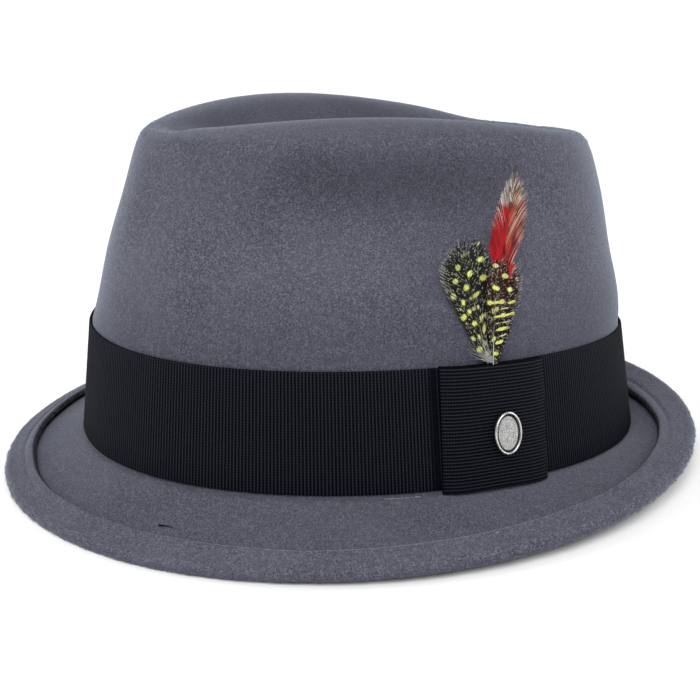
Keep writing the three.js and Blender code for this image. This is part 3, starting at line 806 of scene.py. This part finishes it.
# %% Rings of the pin
PIN_SIDES, FIELD_RINGS, FIELD_LEVEL = 96, 30, 1.35
pocket_here = POCKET * (1 - (PIN_ACROSS / (BOW_WIDTH / 2)) ** 4)
pin_front = band_face + GAP + pocket_here + BOW_THICKNESS + GAP
pin_frame = wall_frame(BOW_TURN + PIN_ACROSS / arc_scale, PIN_UP / BAND_WIDTH, pin_front, wall_lean)
field_edge = PIN_WIDTH / 2 - PIN_RIM - PIN_GROOVE
pin_rows = [(field_edge * share, FIELD_LEVEL, 0.0) for share in np.linspace(0.04, 0.92, FIELD_RINGS)]
pin_rows += [(field_edge + d, z, mark) for d, z, mark in (  # groove, rim, side: out, height, tarnish
    (-0.2, 1.25, 0.7), (-0.1, 1.0, 1.0), (0.08, 0.95, 1.0), (0.26, 1.05, 1.0), (0.36, 1.35, 0.7),
    (0.43, 1.6, 0.15), (0.54, 1.74, 0.0), (0.7, 1.8, 0.0), (0.86, 1.77, 0.0), (1.0, 1.66, 0.0),
    (1.11, 1.48, 0.1), (1.16, 1.26, 0.4), (1.05, 0.9, 0.8), (0.8, 0.5, 0.9), (0.65, 0.0, 0.9))]
a = np.arange(PIN_SIDES) / PIN_SIDES * 2 * np.pi
radius, level, mark = (np.array(v)[:, None] for v in zip(*pin_rows))
stretch = (PIN_HEIGHT - PIN_WIDTH) / 2 * np.minimum(radius / field_edge, 1)
px, py = radius * np.cos(a), (radius + stretch) * np.sin(a)
print("pin rings:", len(pin_rows))

# %% Pits in the pin's field
PIT_STEP, PIT_JITTER, PIT_RADIUS, PIT_DEPTH = 0.46, 0.14, 0.17, 0.11
field = (np.arange(len(pin_rows)) < FIELD_RINGS)[:, None]
cells = np.stack(np.meshgrid(np.arange(-9, 10), np.arange(-14, 15)), -1).reshape(-1, 2) * PIT_STEP
cells = cells + chance.uniform(-PIT_JITTER, PIT_JITTER, cells.shape)
near = ((px[..., None] - cells[:, 0]) ** 2 + (py[..., None] - cells[:, 1]) ** 2) / PIT_RADIUS**2
pits = np.exp(-near).sum(-1).clip(0, 1) * field
pz = level - PIT_DEPTH * pits + 0 * a
tarnished = np.clip(mark + 0.42 * pits + 0.1 * field, 0, 1)
pin_points = np.concatenate([np.stack([px, py, pz], -1).reshape(-1, 3),
                             [[0, 0, FIELD_LEVEL], [0, 0, 0.0]]])
quads, _, _ = grid_faces(len(pin_rows), PIN_SIDES, ring=True)
pin_mesh = fill_mesh("silver_pin", place_in(pin_frame, pin_points), quads[:, ::-1],
                     end_fans(len(pin_rows), PIN_SIDES))
keep_value(pin_mesh, "tarnish", np.concatenate([tarnished.ravel(), [0.1, 0.5]]))
piece("silver_pin", pin_mesh, silver, "pin_metal", "oval_pin")

# %% [markdown]
# ## Feathers
# A feather is a shaft with barbs, hundreds of flat hairs that lie side by side. Hair tools could
# grow them, but barbs drawn as curves between the shaft and the vane's edge follow the real
# outline exactly. Each barb is a thin three-sided blade that narrows to its tip. The spots and
# bars are dyed into the points by formula, in millimetres across and up from the band.

# %% Barbs as blades
FLATNESS = 0.3  # height of a blade's ridge, as a share of its width


def smooth_path(points, s):
    """A smooth curve through hand-set points, by cubic B-spline with the ends clamped."""
    return spline_weights(np.asarray(s), len(points)) @ np.array(points, float)


def blades(centres, widths):
    """Three-sided blades round centre lines. centres is blades × steps × 3, widths is blades ×
    steps. Each section has two edge points square to the line and a ridge point in front."""
    along = np.gradient(centres, axis=1)
    along /= np.maximum(np.linalg.norm(along, axis=-1, keepdims=True), 1e-9)
    side = np.cross(along, [0, 0, 1.0])
    side /= np.maximum(np.linalg.norm(side, axis=-1, keepdims=True), 1e-9)
    front = np.cross(side, along)
    w = widths[..., None] / 2
    points = np.stack([centres + side * w, centres - side * w, centres + front * w * 2 * FLATNESS], 2)
    return points.reshape(-1, 3), *strand_faces(*centres.shape[:2])


print("a blade's ridge stands", FLATNESS, "of its width")

# %% One side of a feather, and its shaft
def vane(shaft, edge, barbs, steps, depth, width, slant=0.1, short=0.1, reach_on=0.0, low=0.0,
         curve=0.3):
    """Barbs of one side. Each leaves the shaft at a share of its length and meets the edge at a
    share larger by slant, bent forwards on the way: a quadratic Bezier through the foot, a
    point ahead of the middle, and the tip. short and reach_on make it miss or pass the edge."""
    s = np.linspace(low, 1, barbs)
    clump = np.sin(np.arange(barbs) * 0.9 + chance.uniform(0, 6)) * np.sin(np.arange(barbs) * 0.23)
    base = smooth_path(shaft, s * (1 - slant) * 0.98)
    tip = smooth_path(edge, np.clip(slant + (1 - slant) * s + 0.008 * clump, 0, 1))
    tip = tip + chance.normal(0, 0.18, tip.shape) + clump[:, None] * np.array([0.0, 0.25])
    tip = base + (tip - base) * (1 + reach_on - chance.uniform(0, short, (barbs, 1)))
    ahead = np.gradient(base, axis=0)
    ahead /= np.maximum(np.linalg.norm(ahead, axis=1, keepdims=True), 1e-9)
    reach = np.linalg.norm(tip - base, axis=1, keepdims=True)
    bend = base + (tip - base) * 0.45 + ahead * reach * curve * 0.25
    q = np.linspace(0, 1, steps)[None, :, None]
    flat = (1 - q) ** 2 * base[:, None] + 2 * q * (1 - q) * bend[:, None] + q**2 * tip[:, None]
    z = depth + chance.uniform(-0.06, 0.06, (barbs, 1))
    z = z + 0.3 * (q[..., 0] ** 2) * chance.uniform(-0.3, 0.6, (barbs, 1))
    z = np.broadcast_to(z, flat.shape[:2])
    taper = width * (1 - 0.7 * q[..., 0] ** 3) * chance.uniform(0.75, 1.15, (barbs, 1))
    return np.concatenate([flat, z[..., None]], -1), np.broadcast_to(taper, flat.shape[:2])


def shaft_blade(points, depth, thick, thin, steps=24):
    """The shaft itself, as one blade that narrows to its tip."""
    s = np.linspace(0, 1, steps)
    flat = smooth_path(points, s)
    centres = np.concatenate([flat, np.full((steps, 1), depth)], 1)[None]
    return centres, (thick + (thin - thick) * s)[None]


print("feather helpers ready")

# %% Shafts and edges of the two spotted feathers and the red one: across and up, in mm
feather_frame = wall_frame(FEATHER_TURN, 1, band_face + GAP, FEATHER_LEAN)
LEFT_SHAFT = [(0.6, -3.5), (0.2, 4), (-0.8, 14), (-2.0, 24), (-3.0, 31), (-3.4, 36.6)]
LEFT_EDGE = [(-0.6, -2), (-3.2, 6.5), (-6.9, 14.5), (-10.0, 21.5), (-12.0, 27.5), (-11.6, 32.9),
             (-8.2, 36.9), (-3.6, 38.8)]
LEFT_INNER = [(1.4, -2), (3.6, 7), (5.6, 15), (6.8, 22), (7.2, 28), (6.9, 34.6), (5.0, 40.4),
              (-3.0, 38.7)]
RIGHT_SHAFT = [(0.9, -3.5), (1.9, 4), (3.4, 12), (5.4, 20), (7.6, 27), (8.6, 30.5)]
RIGHT_EDGE = [(1.6, -2), (5.4, 4.0), (9.6, 8.6), (12.4, 14.0), (14.6, 18.5), (16.6, 24.5),
              (16.2, 30.5), (9.6, 31.8)]
RIGHT_INNER = [(0.4, -2), (0.8, 5), (1.4, 11), (1.7, 17), (2.6, 24), (4.4, 29), (6.4, 31.6),
               (8.8, 31.8)]
RED_SHAFT = [(7.6, 19.5), (8.8, 26), (11.2, 34), (14.6, 44), (17.4, 51.4), (19.0, 56.0)]
RED_LEFT = [(5.8, 21), (5.2, 29), (5.2, 34), (6.6, 39), (9.2, 44.5), (12.2, 49.8), (15.2, 54.8),
            (18.2, 57.3)]
RED_MIDDLE = [(8.4, 21), (9.6, 28), (12.2, 36), (15.2, 45), (17.2, 51.6), (18.7, 57.0),
              (19.1, 58.0)]
RED_RIGHT = [(11.4, 20), (14.6, 27.5), (18.2, 34.5), (20.8, 40.5), (22.0, 46), (22.2, 51),
             (21.8, 55.2), (20.0, 57.4)]
layer = [n * (0.5 + GAP) + 0.2 for n in range(4)]
print("layers in front of the band's plane:", layer)

# %% [markdown]
# The spotted feathers come from guinea fowl, dyed: near black with round spots near the edge
# that run together into bars near the shaft, and a dust of pale points between them. Each spot
# is an ellipse whose edge is combed by the barbs; a striped one shows on every other barb only.

# %% Spots of the left guinea feather
# across, up, half width, half height, slope, paleness, stripes
LEFT_SPOTS = [
    (2.7, 37.2, 0.95, 0.6, 0.0, 0.6, 0.6), (-2.0, 34.4, 1.7, 0.65, 0.25, 0.6, 0.8),
    (-5.5, 30.6, 1.0, 0.95, 0.0, 0.15, 0.3), (3.1, 32.1, 1.3, 0.85, 0.0, 0.1, 0.0),
    (-1.6, 28.2, 1.05, 1.0, 0.3, 0.1, 0.2), (-7.0, 26.5, 1.05, 0.9, 0.2, 0.3, 0.6),
    (3.0, 26.5, 1.35, 0.95, 0.1, 0.0, 0.0), (-3.4, 24.2, 1.1, 0.95, 0.2, 0.0, 0.2),
    (-8.4, 22.2, 1.0, 0.95, 0.0, 0.3, 0.5), (-1.1, 21.3, 2.1, 0.65, 0.45, 0.25, 0.7),
    (-5.2, 19.8, 0.65, 0.9, 0.0, 0.1, 0.0), (-6.6, 17.9, 0.4, 0.4, 0.0, 0.2, 0.0),
    (-5.8, 15.3, 1.05, 1.0, 0.2, 0.0, 0.0), (-3.6, 16.7, 0.9, 0.8, 0.2, 0.1, 0.3),
    (-1.7, 17.4, 0.7, 0.6, 0.2, 0.3, 0.5), (-0.2, 17.7, 0.35, 0.65, 0.0, 0.3, 0.0),
    (-2.3, 12.9, 0.95, 0.75, 0.0, 0.0, 0.0), (1.9, 14.9, 0.35, 0.9, 0.0, 0.4, 0.0),
    (0.9, 14.6, 0.3, 0.9, 0.0, 0.4, 0.0), (0.1, 14.1, 0.3, 1.0, 0.0, 0.4, 0.0),
    (0.9, 10.8, 0.6, 1.4, 0.9, 0.15, 0.2), (-3.5, 8.4, 0.75, 0.65, -0.5, 0.15, 0.2),
    (-1.3, 8.6, 0.45, 0.8, 0.0, 0.2, 0.3), (-1.8, 4.8, 1.15, 0.85, 0.1, 0.1, 0.2),
    (0.5, 6.3, 0.45, 0.7, 0.0, 0.2, 0.3), (0.7, 2.9, 0.55, 1.0, 0.0, 0.1, 0.0),
]

# %% Spots and bars of the right guinea feather
RIGHT_SPOTS = [
    (7.1, 29.6, 1.0, 0.7, -0.2, 0.4, 0.0), (10.0, 26.0, 1.15, 0.75, -0.15, 0.25, 0.0),
    (6.1, 22.7, 1.3, 0.75, -0.35, 0.2, 0.0), (11.0, 21.6, 0.95, 0.75, 0.0, 0.35, 0.0),
    (13.9, 28.3, 0.45, 0.55, 0.5, 0.6, 0.0), (14.2, 24.4, 0.6, 0.6, 0.0, 0.6, 0.4),
    (5.4, 18.3, 3.3, 0.42, -0.03, 0.1, 0.0), (3.1, 18.6, 0.85, 0.75, 0.0, 0.1, 0.0),
    (7.5, 18.3, 0.95, 0.72, 0.0, 0.1, 0.0), (11.1, 17.7, 1.5, 0.6, 0.0, 0.15, 0.3),
    (7.3, 14.0, 3.9, 0.36, 0.02, 0.1, 0.0), (7.4, 14.1, 0.95, 0.65, 0.0, 0.1, 0.0),
    (10.9, 14.1, 0.75, 0.55, 0.0, 0.15, 0.0), (7.0, 11.9, 2.9, 0.16, 0.0, 0.7, 0.3),
    (6.4, 10.0, 2.4, 0.5, 0.05, 0.1, 0.0), (6.6, 8.0, 1.6, 0.16, 0.1, 0.7, 0.4),
    (2.8, 7.3, 0.85, 0.6, 0.4, 0.15, 0.0), (4.6, 6.1, 1.6, 0.5, 0.12, 0.1, 0.0),
    (2.7, 2.8, 1.1, 0.65, -0.1, 0.1, 0.0), (3.8, 15.9, 0.16, 0.95, 0.0, 0.6, 0.0),
    (4.4, 15.9, 0.16, 0.95, 0.0, 0.6, 0.0), (5.0, 16.1, 0.16, 0.95, 0.0, 0.6, 0.0),
    (5.6, 16.2, 0.16, 0.8, 0.0, 0.6, 0.0), (7.9, 16.1, 2.6, 0.13, 0.0, 0.8, 0.4),
]
print("spots:", len(LEFT_SPOTS), "and", len(RIGHT_SPOTS))

# %% Dye of the guinea feathers
YELLOW_GREEN, PALE = np.array([0.62, 0.65, 0.16]), np.array([0.74, 0.74, 0.42])
DUST = np.array([0.58, 0.58, 0.46])


def lay(colour, dye, share):
    """Lays a dye over the colours where share is 1, and none of it where share is 0."""
    return colour + (dye - colour) * np.clip(share, 0, 1)[:, None]


def dye_guinea(points, along, barb, fleck, kind, spots, dark, light):
    """Colour of each point: the dark ground, pale dust, the spots, and paler tips and shaft.
    along runs 0 to 1 along a barb, barb and fleck are random for each barb and each section of
    it, and kind is 0 for barbs, 1 for the shaft and 2 for the thin fringe."""
    x, y = points[:, 0], points[:, 1]
    colour = lay(np.broadcast_to(dark, points.shape), light, barb * (0.3 + 0.5 * along))
    colour = lay(colour, DUST, 0.85 * np.clip((fleck - 0.87) / 0.05, 0, 1) * (0.5 + 0.5 * along))
    for sx, sy, wide, high, slope, pale, stripes in spots:
        far = np.hypot((x - sx) / wide, (y - sy - slope * (x - sx)) / high) + 0.2 * (barb - 0.5)
        shown = np.where(np.sin(barb * 43.0) < 2 * stripes - 1, 0.25, 1.0)
        dye = (YELLOW_GREEN * (1 - pale) + PALE * pale) * (0.75 + 0.45 * barb[:, None])
        colour = lay(colour, dye, np.clip((1.06 - far) / 0.16, 0, 1) * shown)
    fringe_tips = (kind == 2) * np.clip((along - 0.7) / 0.12, 0, 1) * (fleck > 0.15)
    colour = lay(colour, DUST * 1.15, fringe_tips * (0.35 + 0.65 * barb))
    return lay(colour, DUST * 0.9, (kind == 1) * np.clip((14 - y) / 12, 0.1, 0.85))


print("half and half of two dyes:", lay(np.zeros((1, 3)), PALE, np.array([0.5]))[0].round(2))

# %% Feather recipe, dyed by the colour kept in the points
def feather_recipe(name):
    """A soft, slightly glossy barb whose colour is the dye kept in its points."""
    material, tree, shader = recipe(name, Roughness=0.6, Specular_IOR_Level=0.12)
    dye = add(tree, "Attribute", attribute_name="dye").outputs["Color"]
    place = add(tree, "TexCoord").outputs["Object"]
    fine = noise(tree, place, 2600, 2, 0.6)
    shaded = add(tree, "Mix", data_type="RGBA", blend_type="MULTIPLY")
    tree.links.new(dye, shaded.inputs[6])
    shaded.inputs[0].default_value = 1.0
    tree.links.new(spread(tree, fine, 0.3, 0.7, 0.8, 1.15), shaded.inputs[7])
    tree.links.new(shaded.outputs[2], shader.inputs["Base Color"])
    raise_up(tree, shader, fine, 0.00003, 0.4)
    return material


guinea_dye, hackle_dye, down_white = (feather_recipe(name) for name in (
    "guinea_barbs", "red_barbs", "white_down"))


def feather_piece(name, parts, colour_of, material, slot, node):
    """Joins several sets of blades into one feather, dyes it and puts it in the bunch."""
    points, quads, caps, marks, base = [], [], [], [], 0
    for (centres, widths), kind in parts:
        p, q, c = blades(centres, widths)
        many, steps = centres.shape[:2]
        each = lambda values: np.broadcast_to(values, (many, steps, 3)).ravel()
        marks.append(np.stack([each(np.linspace(0, 1, steps)[None, :, None]),
                               each(chance.random((many, 1, 1))),
                               each(chance.random((many, steps, 1))), each(float(kind))]))
        points.append(p)
        quads.append(q + base)
        caps.append(c + base)
        base += len(p)
    points = np.concatenate(points)
    mesh = fill_mesh(name, place_in(feather_frame, points), np.concatenate(quads),
                     np.concatenate(caps))
    keep_dye(mesh, "dye", np.clip(colour_of(points, *np.concatenate(marks, 1)), 0, 1))
    piece(name, mesh, material, slot, node)


print("feather recipes:", guinea_dye.name, hackle_dye.name, down_white.name)

# %% The left guinea feather
left_parts = [
    (vane(LEFT_SHAFT, LEFT_EDGE, 170, 30, layer[0], 0.42, reach_on=-0.06), 0),
    (vane(LEFT_SHAFT, LEFT_INNER, 150, 26, layer[0], 0.42), 0),
    (vane(LEFT_SHAFT, LEFT_EDGE, 64, 24, layer[0] - 0.1, 0.16, reach_on=0.08, low=0.35), 2),
    (shaft_blade(LEFT_SHAFT, layer[0] + 0.15, 0.5, 0.12), 1),
]
BLACK, MOSS = np.array([0.004, 0.0045, 0.003]), np.array([0.02, 0.023, 0.01])
feather_piece("guinea_feather_behind", left_parts,
              lambda points, *marks: dye_guinea(points, *marks, LEFT_SPOTS, BLACK, MOSS),
              guinea_dye, "guinea_feather", "guinea_feather_left")

# %% [markdown]
# The red hackle is long and narrow, with barbs that lie almost along the shaft. Its colour
# changes up its length: red with orange and cream streaks, then white and cream between two
# dark bars, then a brown tip. A third vane fills the middle, where the swept barbs part.

# %% The red hackle
def dye_hackle(points, along, barb, fleck, kind):
    """Red on the left and cream and orange streaks on the right, both streaked by barb, with
    painted shade for the shade between the barbs: many barbs darkened in patches, and dark lines
    among the streaks. Then a dark bar near 47 mm, white and cream from 48 mm, a second bar
    near 52 mm and a brown tip from 55 mm. The heights jump a little from barb to barb."""
    x, y = points[:, 0], points[:, 1]
    side = (x - 10.2 - 0.37 * (y - 32)) / 5.2  # -1 at the left edge, 1 at the right edge
    up = y + 3.4 * (barb - 0.5) + 1.2 * (fleck - 0.5)
    patch = 0.5 + 0.5 * np.sin(side * 7.5 + y * 0.21 + 0.6) * np.sin(y * 0.62 - side * 2.4)
    red, dark = np.array([0.5, 0.011, 0.018]), np.array([0.045, 0.006, 0.009])
    orange, cream = np.array([0.6, 0.22, 0.12]), np.array([0.66, 0.52, 0.4])
    pink, brown = np.array([0.62, 0.34, 0.3]), np.array([0.06, 0.05, 0.036])
    white = np.array([0.66, 0.66, 0.6])
    # painted shade: most barbs darkened in patches, for the shade between the barbs
    shaded = np.clip((0.72 - barb) / 0.3, 0, 0.95) * (0.25 + 0.75 * patch)
    colour = lay(np.broadcast_to(red, points.shape), dark, shaded)
    streaked = np.clip(side / 0.5, 0, 1) * np.clip((y - 27) / 6, 0, 1)
    colour = lay(colour, orange, streaked * (barb > 0.6) * 0.7)
    colour = lay(colour, cream, streaked * (barb > 0.8) * 0.8 * (fleck > 0.12))
    colour = lay(colour, pink, np.clip((side - 0.72) / 0.15, 0, 0.8) * (barb > 0.35))
    # painted shade: dark lines among the streaks, for the shade between the barbs
    painted_gap_shade = np.sin(barb * 91.0) < -0.1
    colour = lay(colour, dark * 1.6, streaked * painted_gap_shade * (0.35 + 0.6 * patch))
    colour = lay(colour, white, (side < -0.2) * np.clip((y - 40) / 8, 0, 0.8) * (barb > 0.82))
    colour = lay(colour, brown, np.clip((y - 35) / 6, 0, 0.85) * (np.abs(barb - 0.5) < 0.07))
    pale = np.where(side[:, None] > 0.1, cream, white) * (0.65 + 0.45 * barb[:, None])
    colour = lay(colour, pale, np.clip((up - 48.2) / 1.8, 0, 1) * (0.3 + 0.7 * (barb > 0.25)))
    bar = np.clip((up - 50.6) / 0.7, 0, 1) * np.clip((53.2 - up) / 0.7, 0, 1)
    low_bar = np.clip((up - 44.6) / 1.2, 0, 1) * np.clip((49.2 - up) / 1.0, 0, 1)
    low_bar = low_bar * np.clip((0.75 - np.abs(side)) / 0.3, 0, 1)
    colour = lay(colour, brown * 0.8, 0.8 * low_bar * (barb < 0.55))
    colour = lay(colour, brown, 0.9 * bar * np.clip((side + 0.9) / 0.6, 0.35, 1))
    colour = lay(colour, brown * 1.9, np.clip((up - 54.9) / 0.8, 0, 1) * (0.45 + 0.55 * (barb > 0.3)))
    return lay(colour, cream * 0.9, (kind == 2) * np.clip((along - 0.75) / 0.15, 0, 1) * (barb > 0.4))


swept = dict(slant=0.3, curve=0.75)
red_parts = [
    (vane(RED_SHAFT, RED_LEFT, 140, 26, layer[1], 0.38, short=0.14, **swept), 0),
    (vane(RED_SHAFT, RED_RIGHT, 140, 26, layer[1], 0.38, short=0.14, **swept), 0),
    (vane(RED_SHAFT, RED_MIDDLE, 90, 26, layer[1] + 0.12, 0.34, slant=0.2, curve=0.5), 0),
    (vane(RED_SHAFT, RED_RIGHT, 40, 20, layer[1] + 0.1, 0.16, reach_on=0.05, low=0.3, **swept), 2),
    (vane(RED_SHAFT, RED_LEFT, 40, 20, layer[1] + 0.1, 0.16, reach_on=0.05, low=0.3, **swept), 2),
]
feather_piece("red_hackle_feather", red_parts, dye_hackle, hackle_dye, "hackle_feather",
              "red_hackle")

# %% The right guinea feather, in front
def dye_right(points, along, barb, fleck, kind):
    """The guinea dye on a ground that turns maroon upwards, with a lick of the red hackle that
    has slipped through its barbs near the right edge."""
    x, y = points[:, 0], points[:, 1]
    rise = np.clip((y - 8) / 20, 0, 1)[:, None]
    ground = BLACK + rise * np.array([0.016, 0.0, 0.001])
    light = np.array([0.02, 0.009, 0.005]) + rise * np.array([0.055, -0.001, 0.001])
    colour = dye_guinea(points, along, barb, fleck, kind, RIGHT_SPOTS, ground, light)
    off = (x - 12.9 - 0.3 * (y - 28.7)) / (0.35 + 0.28 * np.abs(y - 24.8)) + 0.4 * (barb - 0.5)
    lick = np.clip((1 - np.abs(off)) / 0.2, 0, 1) * np.clip((y - 24.8) / 0.5, 0, 1)
    colour = lay(colour, np.array([0.46, 0.012, 0.018]), lick * (0.55 + 0.45 * (barb > 0.3)))
    pale_side = np.clip((off - 0.2) / 0.2, 0, 0.85) * (barb > 0.35)
    return lay(colour, np.array([0.64, 0.42, 0.34]), lick * pale_side)


right_parts = [
    (vane(RIGHT_SHAFT, RIGHT_EDGE, 170, 30, layer[2], 0.42, reach_on=-0.04), 0),
    (vane(RIGHT_SHAFT, RIGHT_INNER, 130, 20, layer[2], 0.42), 0),
    (vane(RIGHT_SHAFT, RIGHT_EDGE, 50, 22, layer[2] - 0.1, 0.15, reach_on=0.07, low=0.4), 2),
    (shaft_blade(RIGHT_SHAFT[:4], layer[2] + 0.2, 0.5, 0.2), 1),
]
feather_piece("guinea_feather_front", right_parts, dye_right, guinea_dye, "guinea_feather",
              "guinea_feather_right")

# %% [markdown]
# At the roots the barbs turn to loose down. These are free white hairs: each one leaves the
# root, heads off at its own angle and curls a little, so they are blades with a wandering line.

# %% Loose down at the roots
DOWN_HAIRS, DOWN_STEPS = 46, 14
aim = np.radians(chance.uniform(112, 172, DOWN_HAIRS))
reach = chance.uniform(3.5, 10.5, DOWN_HAIRS) * (1 - 0.25 * (aim > 2.7))
curl = chance.uniform(-0.7, 0.3, DOWN_HAIRS)
k = np.linspace(0, 1, DOWN_STEPS)
heading = aim[:, None] + curl[:, None] * k
step = reach[:, None] / DOWN_STEPS
x = 0.9 + chance.uniform(-0.5, 0.5, (DOWN_HAIRS, 1)) + np.cumsum(np.cos(heading), 1) * step
y = 0.5 + chance.uniform(-0.4, 0.9, (DOWN_HAIRS, 1)) + np.cumsum(np.sin(heading), 1) * step
z = layer[3] + chance.uniform(-0.5, 0.9, (DOWN_HAIRS, 1)) * k
down_hairs = (np.stack([x, y, z], -1),
              np.broadcast_to(0.1 * (1 - 0.6 * k), (DOWN_HAIRS, DOWN_STEPS)))


def dye_down(points, along, barb, fleck, kind):
    """A grey for each hair, 0.3 to 0.6."""
    return 0.3 + 0.3 * np.repeat(barb[:, None], 3, 1)


feather_piece("loose_down", [(down_hairs, 0)], dye_down, down_white, "down", "down_tuft")

# %% [markdown]
# A few bits of lint lie on the hat: a short dark thread and a pale speck on the brim, and a loose
# pale thread along the ribbon's foot. Each is one hair through points measured on the brim.

# %% Bits of lint on the brim
def brim_thread(places, steps=14):
    """One hair's line through places on the brim, each (turn in degrees, distance out, height)."""
    turn, distance, off = np.array(places).T
    line = brim(np.radians(turn), distance, off)
    return smooth_path(line, np.linspace(0, 1, steps))[None]


dark_line = brim_thread([(27.7, 14.4, 0.3), (28.4, 14.3, 0.45), (29.4, 14.1, 0.4), (30.5, 14.3, 0.25)])
pale_lines = np.concatenate([
    brim_thread([(80.05, 24.9, 2.3), (80.15, 25.0, 3.0), (80.35, 25.1, 3.0), (80.45, 25.2, 2.4)]),
    brim_thread([(66.0, 1.9, 0.3), (68.5, 2.2, 0.35), (70.5, 2.0, 0.3), (72.4, 2.3, 0.35)]),
    brim_thread([(71.6, 2.0, 0.3), (72.0, 2.6, 0.6), (72.3, 2.1, 0.6), (72.6, 2.4, 0.3)])])
LINT = (  # name, lines, thicknesses, two colours
    ("dark_thread", dark_line, [0.75], (0.004, 0.004, 0.005, 1), (0.01, 0.01, 0.012, 1)),
    ("pale_threads", pale_lines, [0.4, 0.16, 0.3], (0.25, 0.26, 0.3, 1), (0.5, 0.52, 0.56, 1)),
)
for name, line, thick, first, second in LINT:
    wool, tree, shader = recipe(name + "_wool", Roughness=0.9, Specular_IOR_Level=0.1)
    strand = noise(tree, add(tree, "TexCoord").outputs["Object"], 1500, 2, 0.5)
    tree.links.new(blend_colours(tree, strand, first, second), shader.inputs["Base Color"])
    piece(name, hair_mesh(name, line, np.array(thick)), wool, "felt")

# %% [markdown]
# ## Studio
# The floor is plain and white. A large soft light stands high near the camera, one stands low at
# each side of the picture, where the felt's sheen catches it along the hat's outline, and a weak
# one stands behind. The camera was worked out from the hat's outlines: it stands to the hat's
# front left, a little above it, and is tilted by about a degree.

# %% Floor and world
floor_mesh = bpy.data.meshes.new("floor")
floor_mesh.from_pydata([(-30, -30, 0), (30, -30, 0), (30, 30, 0), (-30, 30, 0)], [], [(0, 1, 2, 3)])
floor = bpy.data.objects.new("floor", floor_mesh)
bpy.context.scene.collection.objects.link(floor)
paper, tree, shader = recipe("white_paper", Roughness=0.9, Specular_IOR_Level=0.1)
shader.inputs["Base Color"].default_value = (0.94, 0.94, 0.94, 1)
floor_mesh.materials.append(paper)
world = bpy.data.worlds.new("studio")
world.use_nodes = True
world.node_tree.nodes["Background"].inputs["Color"].default_value = (1, 1, 1, 1)
world.node_tree.nodes["Background"].inputs["Strength"].default_value = 0.2
bpy.context.scene.world = world
bpy.context.scene.view_settings.view_transform = "Standard"
print("floor and world set")

# %% Soft lights
from mathutils import Matrix, Vector

LIGHT_WIDTH = np.radians(60)


def direction(azimuth, elevation):
    """Unit vector from the hat towards an angle round it and above the floor, in degrees."""
    a, e = np.radians(azimuth), np.radians(elevation)
    return Vector((np.sin(a) * np.cos(e), -np.cos(a) * np.cos(e), np.sin(e)))


def soft_light(name, azimuth, elevation, strength):
    """A far, soft light that fills an angle of LIGHT_WIDTH in the sky."""
    data = bpy.data.lights.new(name, "SUN")
    data.energy, data.angle = strength, LIGHT_WIDTH
    lamp = bpy.data.objects.new(name, data)
    bpy.context.scene.collection.objects.link(lamp)
    lamp.rotation_mode = "QUATERNION"
    lamp.rotation_quaternion = direction(azimuth, elevation).to_track_quat("Z", "Y")


soft_light("front_light", 60, 50, 2.55)
soft_light("left_light", -40, 16, 1.95)
soft_light("right_light", 160, 16, 1.85)
soft_light("back_light", 240, 50, 0.45)

# %% Camera at the photograph's angle
AZIMUTH, ELEVATION, ROLL = 60.0, 15.68, np.radians(-1.303)
DISTANCE, AIM = 0.520, (0, 0, 0.045)
back = direction(AZIMUTH, ELEVATION)
right = direction(AZIMUTH + 90, 0)
up = back.cross(right)
tilted_right = right * np.cos(ROLL) + up * np.sin(ROLL)
tilted_up = up * np.cos(ROLL) - right * np.sin(ROLL)
lens = bpy.data.cameras.new("camera")
lens.lens, lens.sensor_width = 74.75, 36.0
lens.shift_x, lens.shift_y = 0.0029, -0.0422  # the photograph's own framing
lens.clip_start, lens.clip_end = 0.01, 100
camera = bpy.data.objects.new("camera", lens)
bpy.context.scene.collection.objects.link(camera)
camera.matrix_world = Matrix.Translation(Vector(AIM) + back * DISTANCE) @ Matrix(
    (tilted_right, tilted_up, back)).transposed().to_4x4()
bpy.context.scene.camera = camera
print("camera at", [round(v, 3) for v in camera.matrix_world.translation])

# %% The scene brought up to date
bpy.context.view_layer.update()
